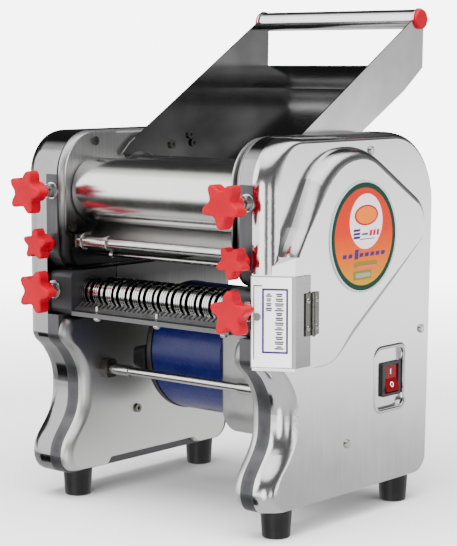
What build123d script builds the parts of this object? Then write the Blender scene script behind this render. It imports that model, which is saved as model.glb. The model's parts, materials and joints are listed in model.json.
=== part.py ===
from build123d import *
import os
from math import acos, atan2, cos, hypot, pi, radians, sin, sqrt, tan

# Electric pasta roller machine, in millimetres.
# Working frame: X runs along the rollers, with 0 midway between the walls.
# Y points to the back, with 0 midway between the feet.  Z is up, with 0 on the table.
# The written parts are shifted so that the origin is the centre of the whole box's underside.

# ---------------------------------------------------------------- driving dimensions
SHELL_X = 98.0            # inner faces of the two side walls
PLATE_X = 99.5            # face of the upper inner plates, behind the bearing straps
CAST_IN_X = 108.0         # cast wall, inner side
CAST_OUT_X = 122.0        # cast wall, outer side, where the covers start
RIGHT_COVER_X = 139.0     # low face of the right cover
PAD_X = 154.0             # raised face of the right cover
LEFT_COVER_X = 152.0      # flat face of the left cover
SHEET = 1.3               # sheet steel of the covers and shells
WALL_FRONT_Y = -122.0
WALL_BACK_Y = 122.0
WALL_TOP_Z = 343.0
WALL_BOTTOM_Z = 25.0

ROLLER_R = 29.5
ROLLER_LENGTH = 194.0
ROLLER_Z = 289.0
FRONT_ROLLER_Y = -85.0
ROLLER_PITCH = 60.0       # distance between the roller axes with the rollers closed
GAP_TRAVEL = 3.0          # how far the front roller opens
SHAFT_R = 10.0
REAR_ROLLER_Y = FRONT_ROLLER_Y + ROLLER_PITCH

MOTOR_Y = 2.0
MOTOR_Z = 139.0
MOTOR_R = 60.0

KNOB_X = 115.5
KNOB_R = 20.0
SMALL_KNOB_R = 14.5
GUIDE_KNOB_Z = 241.0
CUTTER_KNOB_Z = 198.0

FOOT_X = 120.0
FOOT_Y = 87.0
FOOT_TOP_R = 13.8
FOOT_BASE_R = 12.2

FIT = 0.05                # radial clearance of a shaft in its bore
GAP = 0.3                 # clearance between neighbouring pieces

# gear train: tooth counts and modules
DRIVE_MODULE = 2.5
CUTTER_MODULE = 2.0
PINION_TEETH = 16
IDLER_TEETH = 36
ROLLER_GEAR_TEETH = 36
PAIR_TEETH = 24
CUTTER_DRIVE_TEETH = 37
CUTTER_DRIVEN_TEETH = 15
CUTTER_PAIR_TEETH = 11
GEAR_X = (124.0, 134.0)   # plane of the gears between the cast wall and the cover
INNER_GEAR_X = (101.2, 107.4)

CUTTER_Z = 196.0
CUTTER_RING_R = 12.0
CUTTER_CORE_R = 8.6
CUTTER_SHAFT_R = 5.0
CUTTER_PITCH = CUTTER_MODULE * CUTTER_PAIR_TEETH
RING_PERIOD = 16.5

POCKET_Z = (175.0, 216.0)
POCKET_BACK_Y = -58.0
BLOCK_X = (94.0, 121.0)
BLOCK_Y = (-119.0, -60.0)
BLOCK_Z = (175.4, 215.6)

DOOR_Z = (152.0, 229.0)
DOOR_BEND_Y = -105.0
DOOR_LEAF_Y = -86.0
HINGE_X = 157.2
HINGE_Y = -84.0
HINGE_Z = (178.0, 214.0)
HINGE_R = 2.2
PIN_R = 1.1

SWITCH_Y = 59.5
SWITCH_Z = 119.5
RECESS_Y = (32.0, 75.5)
RECESS_Z = (94.0, 148.0)
RECESS_DEPTH = 4.5
BADGE_Y = -10.0
BADGE_Z = 255.5
BADGE_R = 49.0

TRAY_X = 95.0             # outer faces of the feed tray's side plates
TRAY_SHEET = 1.5
HANDLE_Y = 159.0
HANDLE_Z = 445.5
HANDLE_R = 9.2

TIE_ROD_Y = -71.0
TIE_ROD_Z = 121.0
REAR_RODS = ((84.0, 130.0), (84.0, 286.0))
TIE_ROD_R = 4.0

KNOB_FRONT_Y = -157.0
SCREW_HEAD = 2.0


# ---------------------------------------------------------------- small helpers
def rod_x(radius, x0, x1, y, z):
    """Cylinder along X."""
    return Plane.YZ.offset(x0) * Pos(y, z) * extrude(Circle(radius), x1 - x0)


def rod_y(radius, y0, y1, x, z):
    """Cylinder along Y."""
    return Pos(x, y0, z) * Rot(-90, 0, 0) * extrude(Circle(radius), y1 - y0)


def rod_z(radius, z0, z1, x, y):
    """Cylinder along Z."""
    return Pos(x, y, z0) * extrude(Circle(radius), z1 - z0)


def block(x, y, z):
    """Box from three (low, high) pairs."""
    size = [high - low for low, high in (x, y, z)]
    centre = [(high + low) / 2 for low, high in (x, y, z)]
    return Pos(*centre) * Box(*size)


def hex_x(across_flats, x0, x1, y, z):
    """Hexagonal prism along X."""
    hexagon = RegularPolygon(across_flats / 2, 6, major_radius=False)
    return Plane.YZ.offset(x0) * Pos(y, z) * extrude(hexagon, x1 - x0)


def polygon_x(points, x0, x1):
    """Prism along X whose outline is a list of (y, z) points."""
    return Plane.YZ.offset(x0) * extrude(make_face(Polyline(*points, close=True)), x1 - x0)


def mirrored(shape):
    """The same piece on the left side."""
    return mirror(shape, about=Plane.YZ)


def fuse(shapes):
    """One shape from several."""
    total = shapes[0]
    for shape in shapes[1:]:
        total = total + shape
    return total


def cut(shape, tools):
    """Shape less each tool."""
    for tool in tools:
        shape = shape - tool
    return shape


def group(shapes):
    """Several separate solids in one node."""
    return Compound([solid for shape in shapes for solid in shape.solids()])


# ---------------------------------------------------------------- pressed outlines
# An outline is a closed list of (seam point, face point, inward direction, way on to the next).
# The seam is where the pressing starts, the face is its flat front, both as (y, z).
SIDE = [
    ((-108, WALL_BOTTOM_Z), (-97, 27), (0, 1), "curve"),
    ((-121, 42), (-109, 41), (1, 0), "curve"),
    ((-104, 75), (-88, 75), (0.84, -0.54), "curve"),
    ((-97, 108), (-80.5, 107), (1, 0), "curve"),
    ((-109, 140), (-92, 138), (0.80, 0.60), "curve"),
    ((WALL_FRONT_Y, 157), (-106.5, 160), (1, 0), "line"),
    ((WALL_FRONT_Y, 303), (-107, 300), (1, 0), "curve"),
    ((-82, WALL_TOP_Z), (-77, 337), (0, -1), "line"),
    ((60, WALL_TOP_Z), (58, 337), (0, -1), "curve"),
    ((WALL_BACK_Y, 279), (117, 274), (-1, 0), "line"),
    ((116, 43), (111, 43), (-1, 0), "curve"),
    ((98, WALL_BOTTOM_Z), (94, 27), (0, 1), "line"),
]

# Raised part of the right cover, over the gears.
PAD = [
    ((-106, 149), (-105, 149.5), (1, 1), "line"),
    ((-107, 232), (-104, 226), (1, 0.0), "curve"),
    ((-92, 268), (-88, 263), (0.84, -0.54), "line"),
    ((-71, 308), (-63, 296), (0.80, -0.60), "curve"),
    ((-18, 333), (-12, 322), (0, -1), "curve"),
    ((33, 315), (27, 306), (-0.506, -0.863), "line"),
    ((77, 288), (73, 279), (-0.506, -0.863), "curve"),
    ((80, 241), (76, 245), (-0.54, 0.84), "line"),
    ((44, 211), (38, 219), (-0.55, 0.83), "line"),
    ((-12, 171), (-20, 179), (-0.58, 0.81), "curve"),
    ((-64, 147), (-66, 150), (0, 1), "line"),
]

# Lower inner shell, between the foot pads and the cutter pocket.
LOWER_SHELL = [
    ((-108, 27), (-104, 30), (0, 1), "curve"),
    ((-121, 42), (-113, 43), (1, 0), "curve"),
    ((-104, 75), (-96, 75), (0.84, -0.54), "curve"),
    ((-97, 108), (-89, 107), (1, 0), "curve"),
    ((-109, 140), (-101, 139), (0.80, 0.60), "curve"),
    ((WALL_FRONT_Y, 158), (-114, 157), (1, 0), "curve"),
    ((-112, 173), (-107, 168), (0, -1), "line"),
    ((POCKET_BACK_Y + 3, 173), (POCKET_BACK_Y + 3, 168), (0, -1), "line"),
    ((POCKET_BACK_Y + 3.1, 215), (POCKET_BACK_Y + 3.1, 215), (0, -1), "line"),
    ((113, 215), (104, 215), (0, -1), "line"),
    ((107, 43), (98, 43), (-1, 0), "curve"),
    ((92, 27), (86, 29.5), (0, 1), "line"),
    ((66, 27), (64, 29.5), (0, 1), "curve"),
    ((54, 33), (52, 35), (0, 1), "line"),
    ((-64, 33), (-62, 35), (0, 1), "curve"),
    ((-72, 27), (-70, 29), (0, 1), "line"),
]

# Upper inner plate, from the cutter pocket to the top.
UPPER_PLATE = [
    ((-104, 217), (-101, 220), (0, 1), "curve"),
    ((-120, 234), (-112, 236), (1, 0), "line"),
    ((-121, 303), (-112, 302), (1, 0), "curve"),
    ((-82, WALL_TOP_Z), (-80, 339), (0, -1), "line"),
    ((60, WALL_TOP_Z), (58, 339), (0, -1), "curve"),
    ((WALL_BACK_Y, 279), (118, 276), (-1, 0), "line"),
    ((121.2, 217), (118, 217), (0, 1), "line"),
]
ARM = 0.39                # length of a curve's tangent arms, as a share of its chord
ROUNDING_STEPS = 4


def outline_wire(outline, share, inset, x):
    """Closed wire at X=x, share of the way from the seam to the face."""
    points = []
    for seam, face, inward, _way in outline:
        length = hypot(*inward)
        y, z = (seam[i] + (face[i] - seam[i]) * share + inward[i] * inset for i in (0, 1))
        points.append((Vector(x, y, z), Vector(0, -inward[1], inward[0]) / length))
    edges = []
    for i, (_seam, _face, _inward, way) in enumerate(outline):
        start, start_way = points[i]
        end, end_way = points[(i + 1) % len(outline)]
        arm = (end - start).length * ARM
        if way == "curve":
            edges.append(Edge.make_bezier(start, start + start_way * arm, end - end_way * arm, end))
        else:
            edges.append(Edge.make_line(start, end))
    return Wire(edges)


def flat_plate(outline, x0, x1, inset=0.0, share=0.0):
    """Flat plate of the outline, from x0 to x1."""
    return extrude(Face(outline_wire(outline, share, inset, x0)), x1 - x0, dir=(1, 0, 0))


def pressing(outline, x0, x1, inset=0.0):
    """Solid with rounded edges, from the seam outline at x0 to the face outline at x1."""
    way = 1 if x1 > x0 else -1
    depth = x1 - x0 - way * inset
    wires = []
    for step in range(ROUNDING_STEPS + 1):
        turn = pi / 2 * step / ROUNDING_STEPS
        wires.append(outline_wire(outline, 1 - cos(turn), inset, x0 + depth * sin(turn)))
    return Solid.make_loft(wires)


def hollow_pressing(outline, x0, x1, straight=0.0):
    """Pressed sheet, open at x0, with an unrounded stretch before the rounding starts."""
    way = 1 if x1 > x0 else -1
    bend = x0 + way * straight
    outer = pressing(outline, bend, x1)
    if straight:
        outer = flat_plate(outline, x0, bend) + outer
    mouth = flat_plate(outline, x0 - way, bend, SHEET)
    return outer - (mouth + pressing(outline, bend, x1, SHEET))


# Bearing strap on the inside of each upper plate.
STRAP = [
    ((-113.5, 247), (-113.5, 247), (0, 1), "curve"),
    ((-120.5, 254), (-120.5, 254), (1, 0), "line"),
    ((-120.5, 303), (-120.5, 303), (1, 0), "curve"),
    ((-82, 341.5), (-82, 341.5), (0, -1), "line"),
    ((-54, 341.5), (-54, 341.5), (-1, -1), "line"),
    ((-54, 260), (-54, 260), (-1, 1), "line"),
    ((-106.5, 260), (-106.5, 260), (-1, 1), "line"),
    ((-106.5, 254), (-106.5, 254), (-1, 0), "curve"),
]


# ---------------------------------------------------------------- gears
def gear_phase(centre_a, teeth_a, phase_a, centre_b, teeth_b):
    """Angle of a tooth of gear b that puts it in mesh with gear a, in radians about +X."""
    line = atan2(centre_b[1] - centre_a[1], centre_b[0] - centre_a[0])
    ahead = (phase_a - line) % (2 * pi / teeth_a)
    return line + pi - ahead * teeth_a / teeth_b + pi / teeth_b


def gear(module, teeth, phase, centre, x, bore=0.0, addendum=0.9):
    """Spur gear about an axis along X, with circular-arc flanks close to an involute."""
    pitch_r = module * teeth / 2
    base_r = pitch_r * cos(radians(20))
    root_r = pitch_r - 1.2 * module
    tip_r = pitch_r + addendum * module
    backlash = 0.09
    half_pitch_tooth = pi / teeth / 2 * (1 - backlash)

    def half_angle(radius):
        """Half the tooth's angle at a radius."""
        pressure = acos(min(1.0, base_r / radius))
        return half_pitch_tooth + (tan(radians(20)) - radians(20)) - (tan(pressure) - pressure)

    def at(radius, angle):
        return Vector(x[0], centre[0] + radius * cos(angle), centre[1] + radius * sin(angle))

    flank_r = max(base_r, root_r)
    middle_r = (flank_r + tip_r) / 2
    edges = []
    for tooth in range(teeth):
        middle = phase + 2 * pi * tooth / teeth
        left, right = middle - half_angle(flank_r), middle + half_angle(flank_r)
        following = middle + 2 * pi / teeth - half_angle(flank_r)
        if root_r < flank_r:
            edges.append(Edge.make_line(at(root_r, left), at(flank_r, left)))
        edges.append(Edge.make_three_point_arc(
            at(flank_r, left),
            at(middle_r, middle - half_angle(middle_r)),
            at(tip_r, middle - half_angle(tip_r)),
        ))
        edges.append(Edge.make_three_point_arc(
            at(tip_r, middle - half_angle(tip_r)),
            at(tip_r, middle),
            at(tip_r, middle + half_angle(tip_r)),
        ))
        edges.append(Edge.make_three_point_arc(
            at(tip_r, middle + half_angle(tip_r)),
            at(middle_r, middle + half_angle(middle_r)),
            at(flank_r, right),
        ))
        if root_r < flank_r:
            edges.append(Edge.make_line(at(flank_r, right), at(root_r, right)))
        edges.append(Edge.make_three_point_arc(
            at(root_r, right),
            at(root_r, (right + following) / 2),
            at(root_r, following),
        ))
    wheel = extrude(Face(Wire(edges)), x[1] - x[0], dir=(1, 0, 0))
    if bore:
        wheel = wheel - rod_x(bore, x[0] - 1, x[1] + 1, *centre)
    return wheel


def third_corner(a, b, from_a, from_b):
    """Point in front of the line a-b at the two given distances."""
    span = hypot(b[0] - a[0], b[1] - a[1])
    along = (from_a**2 - from_b**2 + span**2) / (2 * span)
    aside = sqrt(from_a**2 - along**2)
    u, w = (b[0] - a[0]) / span, (b[1] - a[1]) / span
    return (a[0] + along * u - aside * w, a[1] + along * w + aside * u)


MOTOR_AXIS = (MOTOR_Y, MOTOR_Z)
FRONT_ROLLER = (FRONT_ROLLER_Y, ROLLER_Z)
REAR_ROLLER = (REAR_ROLLER_Y, ROLLER_Z)
IDLER = third_corner(
    MOTOR_AXIS,
    REAR_ROLLER,
    DRIVE_MODULE * (PINION_TEETH + IDLER_TEETH) / 2,
    DRIVE_MODULE * (IDLER_TEETH + ROLLER_GEAR_TEETH) / 2,
)
CUTTER_REACH = CUTTER_MODULE * (CUTTER_DRIVE_TEETH + CUTTER_DRIVEN_TEETH) / 2
REAR_CUTTER = (IDLER[0] - sqrt(CUTTER_REACH**2 - (IDLER[1] - CUTTER_Z) ** 2), CUTTER_Z)
FRONT_CUTTER = (REAR_CUTTER[0] - CUTTER_PITCH, CUTTER_Z)

IDLER_PHASE = 0.0
PINION_PHASE = gear_phase(IDLER, IDLER_TEETH, IDLER_PHASE, MOTOR_AXIS, PINION_TEETH)
ROLLER_GEAR_PHASE = gear_phase(IDLER, IDLER_TEETH, IDLER_PHASE, REAR_ROLLER, ROLLER_GEAR_TEETH)
FRONT_PAIR_PHASE = gear_phase(REAR_ROLLER, PAIR_TEETH, 0.0, FRONT_ROLLER, PAIR_TEETH)
DRIVEN_PHASE = gear_phase(IDLER, CUTTER_DRIVE_TEETH, 0.0, REAR_CUTTER, CUTTER_DRIVEN_TEETH)
CUTTER_PAIR_PHASE = gear_phase(
    REAR_CUTTER, CUTTER_PAIR_TEETH, 0.0, FRONT_CUTTER, CUTTER_PAIR_TEETH
)
LEFT_GEAR_X = (-GEAR_X[1], -GEAR_X[0])
LEFT_INNER_GEAR_X = (-INNER_GEAR_X[1], -INNER_GEAR_X[0])


# ---------------------------------------------------------------- frame: cast walls and feet
GAP_SLOT = ((-112.0, -61.0), (273.5, 304.5))
KNOB_SCREW_R = 5.0
GUIDE_STUD_R = 4.0
BUSH_R = 16.0
IDLER_SHAFT_R = 8.0
IDLER_BUSH_R = 12.0
MOTOR_SHAFT_R = 8.0
SCRAPER_BAR = (-105.0, 243.0)
SCRAPER_BAR_R = 4.5
GUIDE_ROD = (-74.0, 229.0)
GUIDE_ROD_R = 2.5
COVER_SCREWS = ((-11.0, 71.0), (102.0, 161.0), (21.0, 328.0))
COVER_SCREW_R = 2.0
TRAY_SCREWS = ((18.0, 327.0), (44.0, 335.5))
TRAY_SCREW_R = 2.5
STRAP_SCREWS = ((-83.0, 333.5), (-113.5, 256.0))
SHELL_SCREW = (-28.0, 76.0)
MOTOR_BOLTS = ((-30.0, 60.0), (34.0, 60.0), (36.0, 199.0))
MOTOR_BOLT_R = 3.0
LIGHTENING_HOLES = ((22.0, 80.0, 200.0), (20.0, 80.0, 65.0), (17.0, 10.0, 75.0), (12.0, -60.0, 70.0))
LUG_Z = (27.3, 44.0)
BOLT_R = 4.0
LUG_OUT_X = 134.0
TRIM = 1.2
TRIM_FRONT_Z = 304.0
NIP_Y = (FRONT_ROLLER_Y + REAR_ROLLER_Y) / 2
MIRROR_NIP = Plane.XZ.offset(-NIP_Y)


def top_trim():
    """Bright strip that wraps the edge of the cast wall over the front corner, top and back."""
    ring = flat_plate(SIDE, CAST_IN_X + GAP, CAST_OUT_X) - flat_plate(
        SIDE, CAST_IN_X, CAST_OUT_X + 1, TRIM
    )
    return ring & (
        block((100, 130), (-130, 130), (TRIM_FRONT_Z, 350))
        + block((100, 130), (90, 130), (70, 320))
    )


def cast_wall(right):
    """Cast side wall on the right; the left one is its mirror image."""
    wall = flat_plate(SIDE, CAST_IN_X, CAST_OUT_X)
    wall = wall + block((CAST_IN_X, LUG_OUT_X), (-FOOT_Y - 13, -FOOT_Y + 13), LUG_Z)
    wall = wall + block((CAST_IN_X, LUG_OUT_X), (FOOT_Y - 13, FOOT_Y + 9), LUG_Z)
    hook = Face(Wire([
        Edge.make_line(Vector(100, -104, 216), Vector(100, -104, 216.5)),
        Edge.make_bezier(
            Vector(100, -104, 216.5), Vector(100, -112, 218), Vector(100, -120, 225),
            Vector(100, -124, 238),
        ),
        Edge.make_line(Vector(100, -124, 238), Vector(100, -140, 238)),
        Edge.make_line(Vector(100, -140, 238), Vector(100, -140, 216)),
        Edge.make_line(Vector(100, -140, 216), Vector(100, -104, 216)),
    ]))
    tools = [
        top_trim(),
        block((100, 130), (-140, POCKET_BACK_Y), POCKET_Z),
        extrude(hook, 30, dir=(1, 0, 0)),
        block((100, 130), *GAP_SLOT),
        rod_x(BUSH_R + FIT, 100, 130, *REAR_ROLLER),
        rod_y(KNOB_SCREW_R + FIT, -130, GAP_SLOT[0][0] + 1, KNOB_X, ROLLER_Z),
        rod_y(GUIDE_STUD_R + FIT, -130, -96, KNOB_X, GUIDE_KNOB_Z),
        rod_y(KNOB_SCREW_R + FIT, POCKET_BACK_Y - 1, -44, KNOB_X, CUTTER_KNOB_Z),
        rod_x(SCRAPER_BAR_R + FIT, 100, 110.2, *SCRAPER_BAR),
        rod_x(SCRAPER_BAR_R + FIT, 100, 110.2, 2 * NIP_Y - SCRAPER_BAR[0], SCRAPER_BAR[1]),
        rod_x(GUIDE_ROD_R + FIT, 100, 112.2, *GUIDE_ROD),
        rod_x(TIE_ROD_R + FIT, 100, 118.2, TIE_ROD_Y, TIE_ROD_Z),
    ]
    tools += [rod_x(TIE_ROD_R + FIT, 100, 118.2, *place) for place in REAR_RODS]
    tools += [rod_x(COVER_SCREW_R + FIT, 111.8, 130, *place) for place in COVER_SCREWS]
    tools += [rod_x(TRAY_SCREW_R + FIT, 100, 111.3, *place) for place in TRAY_SCREWS]
    tools += [rod_x(MOTOR_BOLT_R + FIT, 100, 118.2, *place) for place in MOTOR_BOLTS if right]
    tools += [rod_z(BOLT_R + FIT, 20, 42.2, FOOT_X, y) for y in (-FOOT_Y, FOOT_Y)]
    tools += [rod_x(radius, 100, 130, y, z) for radius, y, z in LIGHTENING_HOLES]
    if right:
        tools.append(rod_x(IDLER_BUSH_R + FIT, 100, 130, *IDLER))
        tools.append(rod_x(MOTOR_SHAFT_R + 2, 100, 130, *MOTOR_AXIS))
    return cut(wall, tools)


def feet():
    """Four tapered rubber feet, each recessed for its bolt head."""
    cone = Cone(FOOT_BASE_R, FOOT_TOP_R, WALL_BOTTOM_Z, align=(Align.CENTER, Align.CENTER, Align.MIN))
    cone = chamfer(cone.edges().sort_by(Axis.Z)[0], 1)
    cone = cone - rod_z(7.4, -1, 6, 0, 0) - rod_z(BOLT_R + FIT, 0, 30, 0, 0)
    return group([Pos(x, y, 0) * cone for x in (-FOOT_X, FOOT_X) for y in (-FOOT_Y, FOOT_Y)])


def foot_bolts():
    """Hexagon bolts that hold the feet to the walls' lugs."""
    head = Pos(0, 0, 1.2) * extrude(RegularPolygon(6.4, 6, major_radius=True), 4.8)
    bolt = head + rod_z(BOLT_R, 6, 42, 0, 0)
    return group([Pos(x, y, 0) * bolt for x in (-FOOT_X, FOOT_X) for y in (-FOOT_Y, FOOT_Y)])


# ---------------------------------------------------------------- frame: inner shells and plates
def lower_shell():
    """Pressed shell inside the lower half of the right wall."""
    shell = hollow_pressing(LOWER_SHELL, CAST_IN_X, SHELL_X)
    tools = [
        rod_x(TIE_ROD_R + FIT, 90, 110, TIE_ROD_Y, TIE_ROD_Z),
        rod_x(TIE_ROD_R + FIT, 90, 110, *REAR_RODS[0]),
        block((SHELL_X + SHEET, 110), (-70, 22), (190, 220)),
        block((SHELL_X + SHEET, 110), (-62, -50), (174, 220)),
    ]
    return cut(shell, tools)


def left_lower_shell():
    """The left shell is held by a socket screw, seen below the motor."""
    return mirrored(lower_shell() - rod_x(2.05, 90, 110, *SHELL_SCREW))


def right_lower_shell():
    """The right shell has holes for the gearmotor's shaft and bolts."""
    tools = [rod_x(MOTOR_BOLT_R + FIT, 90, 110, *place) for place in MOTOR_BOLTS]
    return cut(lower_shell(), tools + [rod_x(MOTOR_SHAFT_R + 2, 90, 110, *MOTOR_AXIS)])


def upper_plate():
    """Pressed plate inside the upper half of the right wall, behind the bearing strap."""
    plate = hollow_pressing(UPPER_PLATE, CAST_IN_X, PLATE_X)
    opening = (FRONT_ROLLER_Y - GAP_TRAVEL - SHAFT_R - 1.0, FRONT_ROLLER_Y + SHAFT_R + 1.0)
    tools = [
        block((90, 110), opening, (ROLLER_Z - 11, ROLLER_Z + 11)),
        rod_x(SHAFT_R + 1, 90, 110, *REAR_ROLLER),
        rod_x(SCRAPER_BAR_R + FIT, 90, 110, *SCRAPER_BAR),
        rod_x(SCRAPER_BAR_R + FIT, 90, 110, 2 * NIP_Y - SCRAPER_BAR[0], SCRAPER_BAR[1]),
        rod_x(GUIDE_ROD_R + FIT, 90, 110, *GUIDE_ROD),
        rod_x(TIE_ROD_R + FIT, 90, 110, *REAR_RODS[1]),
        block((PLATE_X + SHEET, 110), (-70, 22), (210, 222)),
    ]
    tools += [rod_x(TRAY_SCREW_R + FIT, 90, 110, *place) for place in TRAY_SCREWS]
    tools += [rod_x(2.05, 90, 110, *place) for place in STRAP_SCREWS]
    return cut(plate, tools)


def bearing_strap():
    """Plate that keeps the front roller's bearing block in its slot, right side."""
    opening = (FRONT_ROLLER_Y - GAP_TRAVEL - SHAFT_R - 1.0, FRONT_ROLLER_Y + SHAFT_R + 1.0)
    strap = flat_plate(STRAP, SHELL_X, PLATE_X)
    strap = strap - block((90, 110), opening, (ROLLER_Z - 11, ROLLER_Z + 11))
    return cut(strap, [rod_x(2.05, 90, 110, *place) for place in STRAP_SCREWS])


def panel_screws():
    """Socket screws of the bearing straps, the left lower shell and the feed tray."""
    places = [(*place, SHELL_X, 2.0, CAST_IN_X - GAP) for place in (*STRAP_SCREWS, SHELL_SCREW)]
    places += [(*place, TRAY_X - TRAY_SHEET, TRAY_SCREW_R, 111.0) for place in TRAY_SCREWS]
    screws = []
    for y, z, face, radius, end in places:
        screw = rod_x(4.2, face - SCREW_HEAD, face, y, z) + rod_x(radius, face, end, y, z)
        screw = screw - hex_x(3.2, face - SCREW_HEAD - 1, face - SCREW_HEAD + 1.3, y, z)
        screws.append(mirrored(screw))
        if (y, z) != SHELL_SCREW:
            screws.append(screw)
    return group(screws)


# ---------------------------------------------------------------- outer covers
def wedge(inset):
    """Slanted front corner of the right cover, in which the gear door sits."""
    slope = 0.54
    points = [
        (CAST_OUT_X - inset, WALL_FRONT_Y - 0.4 + 1.13 * inset - slope * inset),
        (PAD_X - inset, DOOR_BEND_Y + 1.13 * inset - slope * inset),
        (PAD_X - inset, -80),
        (CAST_OUT_X - inset, -80),
    ]
    body = Pos(0, 0, 149.5 + inset) * extrude(
        make_face(Polyline(*points, close=True)), 95 - 2 * inset
    )
    top = Pos(0, WALL_FRONT_Y, 231 - inset) * Rot(38, 0, 0) * block((110, 160), (-40, 60), (0, 40))
    return body - top


def front_of_door_plane(inset):
    """Space in front of the slanted door plane, which the cover's rounded edge keeps out of."""
    points = [on_door(-6, -inset), on_door(48, -inset), on_door(48, 30), on_door(-6, 30)]
    height = DOOR_Z[1] - DOOR_Z[0] + 2 * (1.0 + inset)
    return Pos(0, 0, DOOR_Z[0] - 1.0 - inset) * extrude(
        make_face(Polyline(*points, close=True)), height
    )


def right_cover():
    """Pressed steel cover of the gear train, with a raised pad, a door opening and a switch recess."""
    outer = pressing(SIDE, CAST_OUT_X, RIGHT_COVER_X) + pressing(PAD, 137, PAD_X) + wedge(0)
    outer = outer - front_of_door_plane(0)
    inner = (
        flat_plate(SIDE, CAST_OUT_X - 1, CAST_OUT_X, SHEET)
        + pressing(SIDE, CAST_OUT_X, RIGHT_COVER_X, SHEET)
        + pressing(PAD, 134, PAD_X, SHEET)
        + wedge(SHEET)
    )
    inner = inner - front_of_door_plane(SHEET)
    floor_x = RIGHT_COVER_X - RECESS_DEPTH
    recess = block((floor_x, 142), RECESS_Y, RECESS_Z)
    recess = fillet(recess.edges().filter_by(Axis.X), 7)
    tray = block(
        (floor_x - SHEET, RIGHT_COVER_X - 0.3),
        (RECESS_Y[0] - SHEET, RECESS_Y[1] + SHEET),
        (RECESS_Z[0] - SHEET, RECESS_Z[1] + SHEET),
    )
    tray = fillet(tray.edges().filter_by(Axis.X), 8)
    tools = [
        recess,
        block((125, 142), (SWITCH_Y - 12.9, SWITCH_Y + 12.9), (SWITCH_Z - 14.4, SWITCH_Z + 14.4)),
        block((124.5, 160), (-130, -96), (DOOR_Z[0] + 3, DOOR_Z[1] - 3)),
        rod_y(6.6, 105, 130, 130, 70),
    ]
    tools += [rod_x(COVER_SCREW_R + FIT, 120, 160, *place) for place in COVER_SCREWS]
    tools += [rod_z(BOLT_R + 0.4, 20, 30, FOOT_X, y) for y in (-FOOT_Y, FOOT_Y)]
    tools += [rod_x(1.3, 150, 160, -77.5, z) for z in (184, 208)]
    return cut((outer - inner) + tray, tools)


def left_cover():
    """Plain pressed steel cover of the roller gears, built on the right and mirrored."""
    cover = hollow_pressing(SIDE, CAST_OUT_X, LEFT_COVER_X, 13)
    tools = [rod_x(COVER_SCREW_R + FIT, 120, 160, *place) for place in COVER_SCREWS]
    tools += [rod_z(BOLT_R + 0.4, 20, 30, FOOT_X, y) for y in (-FOOT_Y, FOOT_Y)]
    return mirrored(cut(cover, tools))


def cover_screws():
    """Pan-head screws of both covers."""
    screws = []
    for place in COVER_SCREWS:
        for face, side in ((RIGHT_COVER_X, 1), (LEFT_COVER_X, -1)):
            head = rod_x(4.0, face, face + SCREW_HEAD, *place)
            head = fillet(head.edges().group_by(Axis.X)[-1], 1.2)
            screw = head + rod_x(COVER_SCREW_R, 112, face, *place)
            screws.append(screw if side > 0 else mirrored(screw))
    return group(screws)


# ---------------------------------------------------------------- tie rods
def tie_rods():
    """Front, lower rear and upper rear rods between the walls, with thicker ends."""
    rods = []
    for y, z in ((TIE_ROD_Y, TIE_ROD_Z), *REAR_RODS):
        rod = rod_x(TIE_ROD_R, -118, 118, y, z)
        for side in (-1, 1):
            rod = rod + rod_x(TIE_ROD_R + 1.0, min(side * 66, side * 89), max(side * 66, side * 89), y, z)
        rods.append(rod)
    return group(rods)


def tie_rod_nuts():
    """Hexagon nuts that clamp the walls against the rods."""
    nuts = []
    for y, z in ((TIE_ROD_Y, TIE_ROD_Z), *REAR_RODS):
        face = SHELL_X if z < 216 else PLATE_X
        nut = hex_x(17, face - 8, face, y, z) - rod_x(TIE_ROD_R + FIT, 80, 110, y, z)
        nuts += [nut, mirrored(nut)]
    return group(nuts)


# ---------------------------------------------------------------- rollers and their bearings
def roller(y, left_end, right_end):
    """Polished roller with its shaft."""
    half = ROLLER_LENGTH / 2
    body = rod_x(ROLLER_R, -half, half, y, ROLLER_Z)
    body = chamfer(body.edges(), 1)
    return body + rod_x(SHAFT_R, left_end, right_end, y, ROLLER_Z)


def bearing_blocks():
    """Sliding bearing blocks of the front roller, each with the thread of its adjusting screw."""
    bearing = block((CAST_IN_X, 121), (-107, -63), (274, 304))
    bearing = bearing + rod_x(14.5, 101.2, CAST_IN_X, *FRONT_ROLLER)
    tools = [
        rod_x(SHAFT_R + FIT, 90, 130, *FRONT_ROLLER),
        rod_y(KNOB_SCREW_R + FIT, -120, -97.5, KNOB_X, ROLLER_Z),
    ]
    bearing = cut(bearing, tools)
    return group([bearing, mirrored(bearing)])


def shaft_bushes():
    """Bronze bushes of the rear roller and of the idler shaft."""
    bush = rod_x(BUSH_R, CAST_IN_X, CAST_OUT_X, *REAR_ROLLER) - rod_x(
        SHAFT_R + FIT, 100, 130, *REAR_ROLLER
    )
    idler_bush = rod_x(IDLER_BUSH_R, CAST_IN_X, CAST_OUT_X, *IDLER) - rod_x(
        IDLER_SHAFT_R + FIT, 100, 130, *IDLER
    )
    return group([bush, mirrored(bush), idler_bush])


# ---------------------------------------------------------------- scrapers and rods below the rollers
def scraper():
    """Scraper blade under the front roller, with an ear at each end that its bar passes through."""
    low, high = Vector(0, -97, 246), Vector(0, -68.3, 264.2)
    along = (high - low).normalized()
    normal = Vector(0, -along.Z, along.Y)
    corners = [low, high, high - normal * 1.5, low - normal * 1.5]
    blade = polygon_x([(p.Y, p.Z) for p in corners], -96.5, 96.5)
    ear = polygon_x([(-111, 237.5), (-99, 237.5), (-88, 250.5), (-97, 250), (-111, 249)], 94.5, 96.5)
    ears = (ear + mirrored(ear)) - rod_x(SCRAPER_BAR_R + FIT, -120, 120, *SCRAPER_BAR)
    return blade + ears


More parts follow.
